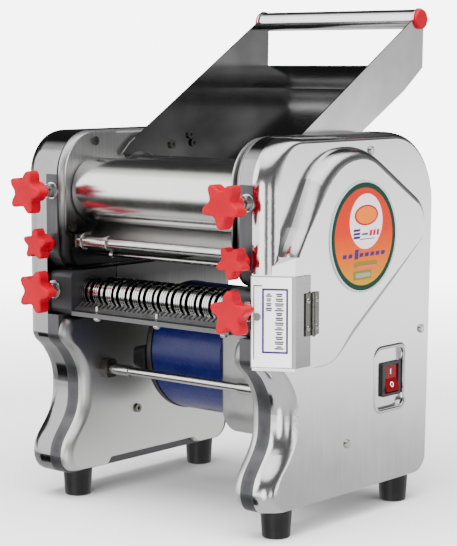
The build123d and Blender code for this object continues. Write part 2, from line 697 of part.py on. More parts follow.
def scraper_bars():
    """Round bars that carry the two scrapers."""
    bar = rod_x(SCRAPER_BAR_R, -110, 110, *SCRAPER_BAR)
    return group([bar, mirror(bar, about=MIRROR_NIP)])


def guide_rod():
    """Thin rod that guides the sheet of dough down to the cutters."""
    return rod_x(GUIDE_ROD_R, -112, 112, *GUIDE_ROD)


# ---------------------------------------------------------------- gearmotor and gear train
def motor_body():
    """Cylindrical motor housing with two raised joint bands."""
    body = rod_x(MOTOR_R, -52, 33, *MOTOR_AXIS)
    return chamfer(body.edges(), 1.5)


def motor_end_cap():
    """End cap of the motor, with a tapered cable boss facing the left wall."""
    cap = rod_x(MOTOR_R + 0.6, -60, -52, *MOTOR_AXIS)
    cap = fillet(cap.edges().sort_by(Axis.X)[0], 4)
    base = Plane.YZ.offset(-60) * Pos(-43, 131) * RectangleRounded(30, 28, 5)
    tip = Plane.YZ.offset(-79) * Pos(-43, 131) * RectangleRounded(20, 18, 4)
    return cap + loft([base, tip])


def motor_gearbox():
    """Cast gearbox between the motor and the right wall, with its mounting flange."""
    case = block((33, SHELL_X), (-58, 62), (72, 190))
    case = fillet(case.edges().filter_by(Axis.X), 25)
    case = fillet(case.faces().sort_by(Axis.X)[0].edges(), 4)
    flange = block((88, SHELL_X), (-46, 52), (48, 208))
    flange = fillet(flange.edges().filter_by(Axis.X), 10)
    tools = [rod_x(MOTOR_SHAFT_R + FIT, 60, 100, *MOTOR_AXIS)]
    tools += [rod_x(MOTOR_BOLT_R + FIT, 80, 100, *place) for place in MOTOR_BOLTS]
    return cut(case + flange, tools)


def motor_bolts():
    """Hexagon bolts that hold the gearbox to the right wall."""
    return group([
        hex_x(10, 82, 88, *place) + rod_x(MOTOR_BOLT_R, 88, 118, *place) for place in MOTOR_BOLTS
    ])


def motor_shaft():
    """Output shaft of the gearbox."""
    return rod_x(MOTOR_SHAFT_R, 61, 136, *MOTOR_AXIS)


def motor_pinion():
    """Small gear on the gearbox's shaft."""
    return gear(
        DRIVE_MODULE, PINION_TEETH, PINION_PHASE, MOTOR_AXIS, GEAR_X, MOTOR_SHAFT_R + 0.02
    )


def idler_gear():
    """Large gear between the pinion and the rear roller's gear."""
    wheel = gear(DRIVE_MODULE, IDLER_TEETH, IDLER_PHASE, IDLER, GEAR_X, IDLER_SHAFT_R + 0.02)
    return lightened(wheel, IDLER)


def idler_shaft():
    """Idler shaft, with the cutters' drive gear on its inner end."""
    wheel = gear(CUTTER_MODULE, CUTTER_DRIVE_TEETH, 0.0, IDLER, INNER_GEAR_X)
    return wheel + rod_x(IDLER_SHAFT_R, INNER_GEAR_X[0], 136, *IDLER)


def lightened(wheel, centre):
    """Gear wheel with six round holes."""
    for step in range(6):
        turn = pi / 3 * step
        place = (centre[0] + 26 * cos(turn), centre[1] + 26 * sin(turn))
        wheel = wheel - rod_x(7, 110, 140, *place)
    return wheel


def roller_drive_gear():
    """Large gear on the rear roller."""
    wheel = gear(
        DRIVE_MODULE, ROLLER_GEAR_TEETH, ROLLER_GEAR_PHASE, REAR_ROLLER, GEAR_X, SHAFT_R + 0.02
    )
    return lightened(wheel, REAR_ROLLER)


def rear_roller_gear():
    """Left gear of the rear roller, which turns the front one."""
    return gear(DRIVE_MODULE, PAIR_TEETH, 0.0, REAR_ROLLER, LEFT_GEAR_X, SHAFT_R + 0.02)


def front_roller_gear():
    """Left gear of the front roller."""
    return gear(
        DRIVE_MODULE, PAIR_TEETH, FRONT_PAIR_PHASE, FRONT_ROLLER, LEFT_GEAR_X, SHAFT_R + 0.02
    )


# ---------------------------------------------------------------- star knobs
def star(radius, depth, tip):
    """Five-lobed knob head along +Z from 0 to depth, with a lobe at the angle tip, in degrees."""
    points = []
    for step in range(40):
        turn = 2 * pi * step / 40 + radians(tip)
        swell = 0.5 + 0.5 * cos(2 * pi * step / 8)
        points.append((radius * (0.61 + 0.39 * swell**1.3), turn))
    curve = Spline(*[(r * cos(a), r * sin(a)) for r, a in points], periodic=True)
    head = extrude(make_face(curve), depth)
    head = fillet(head.edges().group_by(Axis.Z)[-1], radius * 0.09)
    return fillet(head.edges().group_by(Axis.Z)[0], radius * 0.05)


def knob(radius, front_y, back_y, hub_back_y, x, z, tip):
    """Star knob that faces the front, with its hub behind it."""
    head = Pos(x, back_y, z) * Rot(90, 0, 0) * star(radius, back_y - front_y, tip)
    return head + rod_y(9, back_y - 1, hub_back_y, x, z)


def gap_knob(x, tip):
    """Upper knob, on the screw that sets the gap between the rollers."""
    bore = rod_y(KNOB_SCREW_R, -150, -130, x, ROLLER_Z)
    return knob(KNOB_R, KNOB_FRONT_Y, -144, -136, x, ROLLER_Z, tip) - bore


def gap_screw(x):
    """Adjusting screw between the upper knob and the bearing block."""
    return rod_y(KNOB_SCREW_R, -150, -101, x, ROLLER_Z)


def guide_knob(x, tip):
    """Middle knob with its moulded-in stud."""
    stud = rod_y(GUIDE_STUD_R, -130, -97, x, GUIDE_KNOB_Z)
    return knob(SMALL_KNOB_R, -145, -134, -129, x, GUIDE_KNOB_Z, tip) + stud


def cutter_knob(x, tip):
    """Lower knob with the moulded-in stud that clamps the cutter unit."""
    stud = rod_y(KNOB_SCREW_R, -130, -46, x, CUTTER_KNOB_Z)
    return knob(KNOB_R, -147, -135, -129, x, CUTTER_KNOB_Z, tip) + stud


# ---------------------------------------------------------------- cutter unit
CAVITY_X = (100.5, 108.0)
CUTTER_END_X = 109.5
FRONT_BAR = ((-119.0, -111.0), (175.6, 179.6))
REAR_BAR = ((-68.0, -60.2), (176.0, 181.0))
BAR_END_X = 93.9
BAR_SCREWS_X = (-65.0, 8.0, 85.0)
COMB_PITCH = 5.5
COMB_SHEET = 1.2


def turned(profile, y, z):
    """Turned piece along X from its (x, radius) profile."""
    points = [(profile[0][0], 0), *profile, (profile[-1][0], 0)]
    return Pos(0, y, z) * revolve(make_face(Polyline(*points, close=True)), Axis.X)


def cutter_profile(rings, left_end, right_end):
    """Profile of a cutter: a core with rings, and a thinner shaft at each end."""
    half = ROLLER_LENGTH / 2 - 3.5
    profile = [(left_end, CUTTER_SHAFT_R), (-half, CUTTER_SHAFT_R), (-half, CUTTER_CORE_R)]
    x = -half
    while x < half:
        for start, end in rings:
            if x + end <= half:
                profile += [(x + start, CUTTER_CORE_R), (x + start, CUTTER_RING_R)]
                profile += [(x + end, CUTTER_RING_R), (x + end, CUTTER_CORE_R)]
        x += RING_PERIOD
    last = profile[-1][0]
    if last < half:
        profile.append((half, CUTTER_CORE_R))
    return profile + [(half, CUTTER_SHAFT_R), (right_end, CUTTER_SHAFT_R)]


def front_cutter():
    """Front cutter: one wide and one narrow ring per period, with its pair gear at the left."""
    rings = ((0.05, 1.7), (2.4, 4.1), (4.8, 6.5), (10.0, 12.5))
    body = turned(cutter_profile(rings, -CUTTER_END_X, CAVITY_X[0] - 0.2), *FRONT_CUTTER)
    return body + gear(
        CUTTER_MODULE, CUTTER_PAIR_TEETH, CUTTER_PAIR_PHASE, FRONT_CUTTER, LEFT_INNER_GEAR_X,
        addendum=0.85,
    )


def rear_cutter():
    """Rear cutter, whose rings run in the front one's grooves, with its pair gear at the left."""
    rings = ((6.8, 9.7), (12.8, 16.2))
    body = turned(cutter_profile(rings, -CUTTER_END_X, CUTTER_END_X), *REAR_CUTTER)
    return body + gear(
        CUTTER_MODULE, CUTTER_PAIR_TEETH, 0.0, REAR_CUTTER, LEFT_INNER_GEAR_X, addendum=0.85
    )


def cutter_driven_gear():
    """Gear at the rear cutter's right end, driven from the idler shaft."""
    return gear(
        CUTTER_MODULE, CUTTER_DRIVEN_TEETH, DRIVEN_PHASE, REAR_CUTTER, INNER_GEAR_X,
        CUTTER_SHAFT_R + 0.02,
    )


def cutter_block():
    """Side block of the cutter unit, hollow for its gears and open at the back, right side."""
    body = block(BLOCK_X, BLOCK_Y, BLOCK_Z)
    body = fillet(body.edges().filter_by(Axis.X).group_by(Axis.Y)[0], 6)
    tools = [
        block(CAVITY_X, (-113, BLOCK_Y[1] + 1), (178.6, 213.4)),
        rod_y(KNOB_SCREW_R + FIT, -125, -55, KNOB_X, CUTTER_KNOB_Z),
    ]
    for centre in (FRONT_CUTTER, REAR_CUTTER):
        tools.append(rod_x(CUTTER_SHAFT_R + FIT, 90, CUTTER_END_X + 0.3, *centre))
    return cut(body, tools)


def cutter_bars():
    """Front and rear bars that join the two side blocks."""
    front = block((-BAR_END_X, BAR_END_X), *FRONT_BAR)
    rear = block((-BAR_END_X, BAR_END_X), *REAR_BAR)
    tools = [rod_z(1.65, 170, 190, x, -115) for x in BAR_SCREWS_X]
    return group([cut(front, tools), rear])


def comb(low, high):
    """Comb between two (y, z) edges, with teeth on its upper part."""
    along = Vector(0, high[0] - low[0], high[1] - low[1])
    normal = Vector(0, along.Z, -along.Y).normalized() * COMB_SHEET
    if normal.Z > 0:
        normal = normal * -1
    half = ROLLER_LENGTH / 2 - 4.5

    def strip(share, x0, x1):
        start, end = Vector(0, *low), Vector(0, *low) + along * share
        corners = [start, end, end + normal, start + normal]
        return polygon_x([(p.Y, p.Z) for p in corners], x0, x1)

    count = int(2 * half / COMB_PITCH)
    teeth = [
        strip(1.0, -half + step * COMB_PITCH, -half + step * COMB_PITCH + 2.5)
        for step in range(count + 1)
        if -half + step * COMB_PITCH + 2.5 <= half
    ]
    return strip(0.45, -half, half) + teeth


def cutter_combs():
    """Combs that strip the noodles from the grooves of both cutters."""
    front = comb((-117.5, 181.2), (-106.2, 187.6))
    front = cut(front, [rod_z(1.65, 170, 190, x, -115) for x in BAR_SCREWS_X])
    return group([front, comb((-61.0, 183.0), (-65.8, 186.9))])


def cutter_bar_screws():
    """Screws up through the front bar and comb, with domed heads below."""
    screws = []
    for x in BAR_SCREWS_X:
        head = rod_z(3.5, 172.4, FRONT_BAR[1][0], x, -115)
        head = fillet(head.edges().sort_by(Axis.Z)[0], 2.2)
        screws.append(head + rod_z(1.6, FRONT_BAR[1][0], 186, x, -115))
    return group(screws)


# ---------------------------------------------------------------- feed tray
def feed_tray():
    """Sloping feed tray: two side plates and the bottom plate between them."""
    outline = [
        Line((12, 311), (134, 378)),
        Line((134, 378), (165, 400)),
        Line((165, 400), (166, 450)),
        Line((166, 450), (150, 446)),
        Line((150, 446), (-40, 330.5)),
        Line((-40, 330.5), (-50, 321)),
        Line((-50, 321), (-43.9, 316.0)),
        ThreePointArc((-43.9, 316.0), (-19.3, 321.5), (2.0, 307.9)),
        Line((2.0, 307.9), (12, 311)),
    ]
    face = make_face(Curve(children=outline))
    side = Plane.YZ.offset(TRAY_X - TRAY_SHEET) * extrude(face, TRAY_SHEET)
    side = side + rod_x(10.5, TRAY_X - TRAY_SHEET, TRAY_X, HANDLE_Y, HANDLE_Z)
    side = fuse([side] + [rod_x(5, TRAY_X, PLATE_X, *place) for place in TRAY_SCREWS])
    tools = [rod_x(TRAY_SCREW_R + FIT, 90, 110, *place) for place in TRAY_SCREWS]
    side = cut(side, tools + [rod_x(6.1, 90, 110, HANDLE_Y, HANDLE_Z)])
    floor = [(12, 311), (134, 378), (165, 400), (165, 401.9), (133.4, 379.5), (11.3, 312.3)]
    plate = polygon_x(floor, -TRAY_X + TRAY_SHEET / 2, TRAY_X - TRAY_SHEET / 2)
    return side + mirrored(side) + plate


def tray_handle():
    """Round tube between the tops of the tray's side plates."""
    half = TRAY_X - TRAY_SHEET - 0.1
    tube = rod_x(HANDLE_R, -half, half, HANDLE_Y, HANDLE_Z)
    return tube - rod_x(HANDLE_R - 1.5, -half - 1, half + 1, HANDLE_Y, HANDLE_Z)


def handle_caps():
    """Red end caps of the tube, each with a spigot through the side plate."""
    cap = rod_x(9.4, TRAY_X, 98.5, HANDLE_Y, HANDLE_Z)
    cap = fillet(cap.edges().sort_by(Axis.X)[-1], 1.5)
    cap = cap + rod_x(6, 84, TRAY_X, HANDLE_Y, HANDLE_Z)
    return group([cap, mirrored(cap)])


# ---------------------------------------------------------------- gear door, switch and badge
SLOPE = (0.879, 0.478)    # way along the door's front panel, as (x, y)
CATCH_Z = 195.0


def on_door(along, out):
    """Point of the door's front panel as (x, y), at a distance along it and out from the cover."""
    return (
        CAST_OUT_X + SLOPE[0] * along + SLOPE[1] * out,
        WALL_FRONT_Y - 0.4 + SLOPE[1] * along - SLOPE[0] * out,
    )


def catch_rod(radius, out0, out1):
    """Cylinder square to the door's front panel, at the catch."""
    x, y = on_door(4.5, out0)
    plane = Plane(origin=(x, y, CATCH_Z), z_dir=(SLOPE[1], -SLOPE[0], 0))
    return plane * extrude(Circle(radius), out1 - out0)


def gear_door():
    """Folded door over the gears' front corner."""
    points = [
        on_door(-0.8, GAP),
        on_door(-0.8, GAP + 1.2),
        (PAD_X + 1.5, -105.9),
        (PAD_X + 1.5, DOOR_LEAF_Y),
        (PAD_X + GAP, DOOR_LEAF_Y),
        (PAD_X + GAP, -105.2),
    ]
    door = Pos(0, 0, DOOR_Z[0]) * extrude(
        make_face(Polyline(*points, close=True)), DOOR_Z[1] - DOOR_Z[0]
    )
    return door - catch_rod(1.8, 0, 3)


def door_catch():
    """Thumb catch near the door's free edge."""
    return catch_rod(1.75, GAP, 1.7) + catch_rod(3.2, GAP + 1.25, 2.6)


def knuckle(z0, z1):
    """Stretch of the hinge's barrel."""
    return rod_z(HINGE_R, z0, z1, HINGE_X, HINGE_Y) - rod_z(
        PIN_R + FIT, z0 - 1, z1 + 1, HINGE_X, HINGE_Y
    )


def door_leaf():
    """Hinge leaf on the door, with the two outer knuckles."""
    leaf = block((155.5, 156.7), (-94, -86.5), HINGE_Z)
    for z0, z1 in ((HINGE_Z[0], 189.7), (202.3, HINGE_Z[1])):
        bridge = block((155.6, 156.8), (-87, -84.6), (z0, z1))
        leaf = leaf + bridge + knuckle(z0, z1)
    return cut(leaf, [rod_z(PIN_R + FIT, 170, 220, HINGE_X, HINGE_Y)])


def hinge_leaf():
    """Hinge leaf on the cover, with the middle knuckle."""
    leaf = block((PAD_X, 155.2), (-82, -74), HINGE_Z)
    bridge = block((154.9, 156.2), (-83.5, -81), (190, 202))
    leaf = leaf + bridge + knuckle(190, 202)
    return cut(leaf, [rod_z(PIN_R + FIT, 170, 220, HINGE_X, HINGE_Y)])


def hinge_pin():
    """Pin of the door's hinge."""
    return rod_z(PIN_R, 177, 215, HINGE_X, HINGE_Y)


def switch_bezel():
    """Rectangular housing of the rocker switch."""
    floor_x = RIGHT_COVER_X - RECESS_DEPTH
    flange = block((floor_x, 137), (SWITCH_Y - 14.5, SWITCH_Y + 14.5), (104, 135))
    flange = fillet(flange.edges().filter_by(Axis.X), 2)
    body = block((125, floor_x), (SWITCH_Y - 12.6, SWITCH_Y + 12.6), (105.3, 133.7))
    tools = [
        block((127, 140), (SWITCH_Y - 10.4, SWITCH_Y + 10.4), (SWITCH_Z - 12.9, SWITCH_Z + 12.9)),
        rod_y(1.5 + FIT, SWITCH_Y - 11.8, SWITCH_Y + 11.8, ROCKER_X, SWITCH_Z),
    ]
    return cut(flange + body, tools)


ROCKER_X = 133.0


def rocker():
    """Rocker of the switch, at rest with its lower end pressed in."""
    profile = [(-3, -11), (4.2, -12), (2.6, 0), (4.2, 12), (-3, 11)]
    outline = make_face(Polyline(*profile, close=True))
    body = Plane.XZ * outline
    body = Pos(0, 10, 0) * extrude(body, 20)
    body = Rot(0, -8, 0) * body
    body = body + rod_y(1.5, -11.6, 11.6, 0, 0)
    return Pos(ROCKER_X, SWITCH_Y, SWITCH_Z) * body


def badge_plate():
    """Round badge on the raised face of the right cover."""
    return rod_x(BADGE_R, PAD_X, PAD_X + 0.8, BADGE_Y, BADGE_Z)


def cord_gland():
    """Rubber grommet in the right cover's back, where the supply cord enters."""
    body = rod_y(6.5, 108, 117.5, 130, 70) + rod_y(8.5, 117.5, 121, 130, 70)
    return body - rod_y(3.6, 100, 130, 130, 70)


# ---------------------------------------------------------------- every node
def both(shape):
    """The piece and its mirror image in one node."""
    return group([shape, mirrored(shape)])


nodes = {
    "left_wall": mirrored(cast_wall(False)),
    "right_wall": cast_wall(True),
    "top_trims": both(top_trim()),
    "left_lower_shell": left_lower_shell(),
    "right_lower_shell": right_lower_shell(),
    "upper_plates": both(upper_plate()),
    "bearing_straps": both(bearing_strap()),
    "left_cover": left_cover(),
    "right_cover": right_cover(),
    "feet": feet(),
    "foot_bolts": foot_bolts(),
    "cover_screws": cover_screws(),
    "panel_screws": panel_screws(),
    "tie_rods": tie_rods(),
    "tie_rod_nuts": tie_rod_nuts(),
    "motor_body": motor_body(),
    "motor_end_cap": motor_end_cap(),
    "motor_gearbox": motor_gearbox(),
    "motor_bolts": motor_bolts(),
    "motor_shaft": motor_shaft(),
    "motor_pinion": motor_pinion(),
    "idler_gear": idler_gear(),
    "idler_shaft": idler_shaft(),
    "roller_drive_gear": roller_drive_gear(),
    "rear_roller": roller(REAR_ROLLER_Y, -136, 136),
    "front_roller": roller(FRONT_ROLLER_Y, -136, 121),
    "rear_roller_gear": rear_roller_gear(),
    "front_roller_gear": front_roller_gear(),
    "shaft_bushes": shaft_bushes(),
    "roller_bearing_blocks": bearing_blocks(),
    "gap_knob_left": gap_knob(-KNOB_X, 3),
    "gap_knob_right": gap_knob(KNOB_X, 54),
    "gap_screw_left": gap_screw(-KNOB_X),
    "gap_screw_right": gap_screw(KNOB_X),
    "guide_knob_left": guide_knob(-KNOB_X, 14),
    "guide_knob_right": guide_knob(KNOB_X, 54),
    "cutter_knob_left": cutter_knob(-KNOB_X, 0),
    "cutter_knob_right": cutter_knob(KNOB_X, 18),
    "cutter_block_left": mirrored(cutter_block()),
    "cutter_block_right": cutter_block(),
    "cutter_bars": cutter_bars(),
    "cutter_combs": cutter_combs(),
    "front_cutter": front_cutter(),
    "rear_cutter": rear_cutter(),
    "cutter_driven_gear": cutter_driven_gear(),
    "cutter_bar_screws": cutter_bar_screws(),
    "scrapers": group([scraper(), mirror(scraper(), about=MIRROR_NIP)]),
    "scraper_bars": group([scraper_bars(), guide_rod()]),
    "feed_tray": feed_tray(),
    "tray_handle": tray_handle(),
    "handle_caps": handle_caps(),
    "gear_door": gear_door(),
    "door_leaf": door_leaf(),
    "hinge_leaf": hinge_leaf(),
    "hinge_pin": hinge_pin(),
    "door_catch": door_catch(),
    "switch_bezel": switch_bezel(),
    "rocker": rocker(),
    "badge_plate": badge_plate(),
    "cord_gland": cord_gland(),
}

# The origin is the middle of the whole box's underside.
LEFT_END = -(LEFT_COVER_X + SCREW_HEAD)
RIGHT_END = HINGE_X + HINGE_R
BACK_END = HANDLE_Y + 10.5
ORIGIN = Pos(-(LEFT_END + RIGHT_END) / 2, -(KNOB_FRONT_Y + BACK_END) / 2, 0)

os.makedirs("parts", exist_ok=True)
for name, shape in nodes.items():
    export_step(ORIGIN * shape, f"parts/{name}.step")
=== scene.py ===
"""Electric pasta roller machine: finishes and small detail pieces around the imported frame."""
import json
from math import cos, pi, radians, sin

import bmesh
import bpy
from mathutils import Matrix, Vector


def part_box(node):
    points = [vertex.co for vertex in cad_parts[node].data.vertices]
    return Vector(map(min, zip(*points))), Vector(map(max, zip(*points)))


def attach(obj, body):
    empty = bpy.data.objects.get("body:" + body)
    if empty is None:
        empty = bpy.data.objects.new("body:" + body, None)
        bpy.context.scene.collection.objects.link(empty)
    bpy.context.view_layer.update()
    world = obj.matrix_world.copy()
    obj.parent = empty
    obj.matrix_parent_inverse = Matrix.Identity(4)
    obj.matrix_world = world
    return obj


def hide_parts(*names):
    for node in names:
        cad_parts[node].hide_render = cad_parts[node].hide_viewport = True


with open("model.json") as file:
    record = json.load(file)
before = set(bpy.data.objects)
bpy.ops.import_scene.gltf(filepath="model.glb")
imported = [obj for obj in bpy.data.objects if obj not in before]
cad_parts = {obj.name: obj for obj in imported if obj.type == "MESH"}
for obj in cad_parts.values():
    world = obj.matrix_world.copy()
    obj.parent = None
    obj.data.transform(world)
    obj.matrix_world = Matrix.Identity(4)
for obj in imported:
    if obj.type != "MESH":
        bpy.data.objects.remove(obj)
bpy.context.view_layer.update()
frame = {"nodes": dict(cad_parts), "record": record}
RECORD = frame["record"]
MM = 0.001
X = Vector((1, 0, 0))
Y = Vector((0, 1, 0))
Z = Vector((0, 0, 1))

# Places on the machine, in metres in the part's frame.
RECESS_X = 136.3 * MM  # where the bead round the switch recess sits on the right cover
RECESS_Y = (0.02575, 0.06925)  # mouth of the switch recess
RECESS_Z = (0.094, 0.148)
RECESS_CORNER = 7 * MM
LEAF_FACE_X = {"door_leaf": 154.0 * MM, "hinge_leaf": 152.5 * MM}  # outer faces of the hinge's leaves
SCRAPER_BAR_YZ = (-111.25 * MM, 243 * MM)
GUIDE_ROD_YZ = (-80.25 * MM, 229 * MM)
DOOR_ALONG = Vector((0.879, 0.478, 0)).normalized()  # level, along the door's front panel

# ------------------------------------------------------------------ camera
CAMERA_PLACE = Vector((1.0502, -1.26055, 0.4040))
AZIMUTH = radians(40.2)
ELEVATION = radians(6.72)
LENS = 117.3  # focal length in millimetres
CLIP_END = 60  # metres


def look_back(azimuth, elevation):
    """Direction from the object to a viewer at that azimuth and elevation."""
    return Vector((sin(azimuth) * cos(elevation), -cos(azimuth) * cos(elevation), sin(elevation)))


def add_camera():
    data = bpy.data.cameras.new("camera")
    data.lens = LENS
    data.clip_end = CLIP_END
    camera = bpy.data.objects.new("camera", data)
    camera.location = CAMERA_PLACE
    camera.rotation_euler = (-look_back(AZIMUTH, ELEVATION)).to_track_quat("-Z", "Y").to_euler()
    bpy.context.scene.collection.objects.link(camera)
    bpy.context.scene.camera = camera


# ------------------------------------------------------------------ node helpers
class Nodes:
    """Short calls for building one node tree."""

    def __init__(self, tree):
        self.tree = tree
        self.tree.nodes.clear()

    def add(self, kind, **settings):
        node = self.tree.nodes.new(kind)
        for name, value in settings.items():
            setattr(node, name, value)
        return node

    def link(self, source, target):
        self.tree.links.new(source, target)

    def coordinates(self, scale=(1, 1, 1)):
        where = self.add("ShaderNodeTexCoord")
        mapping = self.add("ShaderNodeMapping")
        mapping.inputs["Scale"].default_value = scale
        self.link(where.outputs["Object"], mapping.inputs["Vector"])
        return mapping.outputs["Vector"]

    def place(self):
        """X, Y and Z outputs of the shaded point, in the object's own coordinates."""
        where = self.add("ShaderNodeSeparateXYZ")
        self.link(self.coordinates(), where.inputs["Vector"])
        return where.outputs

    def noise(self, scale, stretch=(1, 1, 1), detail=4.0, roughness=0.55):
        node = self.add("ShaderNodeTexNoise")
        node.inputs["Scale"].default_value = scale
        node.inputs["Detail"].default_value = detail
        node.inputs["Roughness"].default_value = roughness
        self.link(self.coordinates(stretch), node.inputs["Vector"])
        return node.outputs["Fac"]

    def ramp(self, factor, stops, interpolation="LINEAR"):
        node = self.add("ShaderNodeValToRGB")
        node.color_ramp.interpolation = interpolation
        elements = node.color_ramp.elements
        while len(elements) < len(stops):
            elements.new(0.5)
        for element, (place, colour) in zip(elements, stops):
            element.position = place
            element.color = (*colour, 1)
        self.link(factor, node.inputs["Fac"])
        return node.outputs["Color"]

    def remap(self, value, low, high, from_low=0.0, from_high=1.0):
        node = self.add("ShaderNodeMapRange")
        node.inputs["From Min"].default_value = from_low
        node.inputs["From Max"].default_value = from_high
        node.inputs["To Min"].default_value = low
        node.inputs["To Max"].default_value = high
        self.link(value, node.inputs["Value"])
        return node.outputs["Result"]

    def bump(self, height, strength, distance, under=None):
        node = self.add("ShaderNodeBump")
        node.inputs["Strength"].default_value = strength
        node.inputs["Distance"].default_value = distance
        self.link(height, node.inputs["Height"])
        if under is not None:
            self.link(under, node.inputs["Normal"])
        return node.outputs["Normal"]

    def put(self, value, socket):
        """Sets a socket to a number or a colour, or links an output to it."""
        if isinstance(value, (int, float)):
            socket.default_value = value
        elif isinstance(value, tuple):
            socket.default_value = (*value, 1)
        else:
            self.link(value, socket)

    def maths(self, operation, *values):
        node = self.add("ShaderNodeMath", operation=operation)
        for socket, value in zip(node.inputs, values):
            self.put(value, socket)
        return node.outputs["Value"]

    def mix(self, factor, first, second, blend="MIX"):
        node = self.add("ShaderNodeMix", data_type="RGBA", blend_type=blend)
        self.put(factor, node.inputs["Factor"])
        colours = [socket for socket in node.inputs if socket.type == "RGBA"]
        self.put(first, colours[0])
        self.put(second, colours[1])
        return next(socket for socket in node.outputs if socket.type == "RGBA")


def grey(level):
    return (level, level, level)


def blank(name):
    material = bpy.data.materials.new(name)
    material.use_nodes = True
    return material, Nodes(material.node_tree)


def finish_with(nodes, metallic, specular=0.5):
    shader = nodes.add("ShaderNodeBsdfPrincipled")
    shader.inputs["Metallic"].default_value = metallic
    shader.inputs["Specular IOR Level"].default_value = specular
    output = nodes.add("ShaderNodeOutputMaterial")
    nodes.link(shader.outputs["BSDF"], output.inputs["Surface"])
    return shader


def metal(name, dark, light, smooth, rough, grain, grain_scale, grain_bump=0.02, stain=25):
    """Metal with cloudy tone, directional grain and uneven polish."""
    material, nodes = blank(name)
    shader = finish_with(nodes, 1.0)
    cloud = nodes.noise(stain, detail=3)
    lines = nodes.noise(grain_scale, grain, detail=6, roughness=0.65)
    tone = nodes.maths("ADD", nodes.maths("MULTIPLY", cloud, 0.5), nodes.maths("MULTIPLY", lines, 0.5))
    nodes.link(nodes.ramp(tone, ((0.3, dark), (0.7, light))), shader.inputs["Base Color"])
    nodes.link(nodes.remap(tone, smooth, rough, 0.3, 0.7), shader.inputs["Roughness"])
    nodes.link(nodes.bump(lines, grain_bump, 0.0004), shader.inputs["Normal"])
    return material


def moulding(
    name, dark, light, smooth, rough, texture_scale, texture_depth, metallic=0.0, specular=0.35
):
    """Moulded or painted surface with fine texture, faint mottling and a little wear on its edges."""
    material, nodes = blank(name)
    shader = finish_with(nodes, metallic, specular)
    cloud = nodes.noise(60, detail=4)
    grain = nodes.noise(texture_scale, detail=3)
    edge = nodes.remap(nodes.add("ShaderNodeNewGeometry").outputs["Pointiness"], 0.0, 1.0, 0.5, 0.62)
    base = nodes.ramp(cloud, ((0.3, dark), (0.7, light)))
    worn = tuple(min(1.0, 1.4 * channel + 0.002) for channel in light)
    nodes.link(nodes.mix(edge, base, worn), shader.inputs["Base Color"])
    nodes.link(nodes.remap(cloud, smooth, rough, 0.3, 0.7), shader.inputs["Roughness"])
    nodes.link(nodes.bump(grain, texture_depth, 0.0003), shader.inputs["Normal"])
    return material


ALONG_X = (0.02, 1, 1)      # grain drawn out along X
ALONG_Y = (1, 0.02, 1)
ALONG_Z = (1, 1, 0.02)
AROUND_X = (1, 0.03, 0.03)  # turned marks round an X axis


def about_axis(nodes, name):
    """Height over a node's middle, its radius, and the distance from its X axis as a share of that radius."""
    low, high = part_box(name)
    centre = (low + high) / 2
    radius = (high.z - low.z) / 2
    place = nodes.place()
    across = nodes.maths("SUBTRACT", place["Y"], centre.y)
    up = nodes.maths("SUBTRACT", place["Z"], centre.z)
    square = nodes.maths("ADD", nodes.maths("MULTIPLY", across, across), nodes.maths("MULTIPLY", up, up))
    return up, radius, nodes.maths("DIVIDE", nodes.maths("SQRT", square), radius)


def badge_material():
    """Printed badge: pale rim, green ring, and an orange field that turns yellow towards the bottom."""
    material, nodes = blank("printed_badge")
    shader = finish_with(nodes, 0.0, specular=0.1)
    up, radius, reach = about_axis(nodes, "badge_plate")
    height = nodes.remap(up, 0.0, 1.0, -radius, radius)
    field = nodes.ramp(
        height,
        (
            (0.08, (0.42, 0.22, 0.005)),
            (0.3, (0.55, 0.10, 0.002)),
            (0.55, (0.52, 0.02, 0.001)),
            (0.9, (0.42, 0.02, 0.006)),
        ),
    )
    ring = nodes.ramp(reach, ((0.0, (0, 0, 0)), (0.862, (1, 1, 1))), "CONSTANT")
    rim = nodes.ramp(reach, ((0.0, (0, 0, 0)), (0.955, (1, 1, 1))), "CONSTANT")
    fleck = nodes.noise(2500, detail=2)
    green = nodes.ramp(fleck, ((0.3, (0.001, 0.022, 0.012)), (0.7, (0.002, 0.035, 0.02))))
    pale = nodes.ramp(fleck, ((0.3, (0.36, 0.42, 0.43)), (0.7, (0.42, 0.47, 0.48))))
    colour = nodes.mix(rim, nodes.mix(ring, field, green), pale)
    nodes.link(colour, shader.inputs["Base Color"])
    nodes.link(nodes.remap(fleck, 0.22, 0.34), shader.inputs["Roughness"])
    nodes.link(nodes.bump(fleck, 0.05, 0.0001), shader.inputs["Normal"])
    return material


def ink(name, colour):
    """Printed ink with a faint dot pattern."""
    material, nodes = blank(name)
    shader = finish_with(nodes, 0.0, specular=0.08)
    fleck = nodes.noise(3000, detail=2)
    light = tuple(min(1.0, 1.25 * channel + 0.01) for channel in colour)
    nodes.link(nodes.ramp(fleck, ((0.3, colour), (0.7, light))), shader.inputs["Base Color"])
    nodes.link(nodes.remap(fleck, 0.25, 0.4), shader.inputs["Roughness"])
    return material


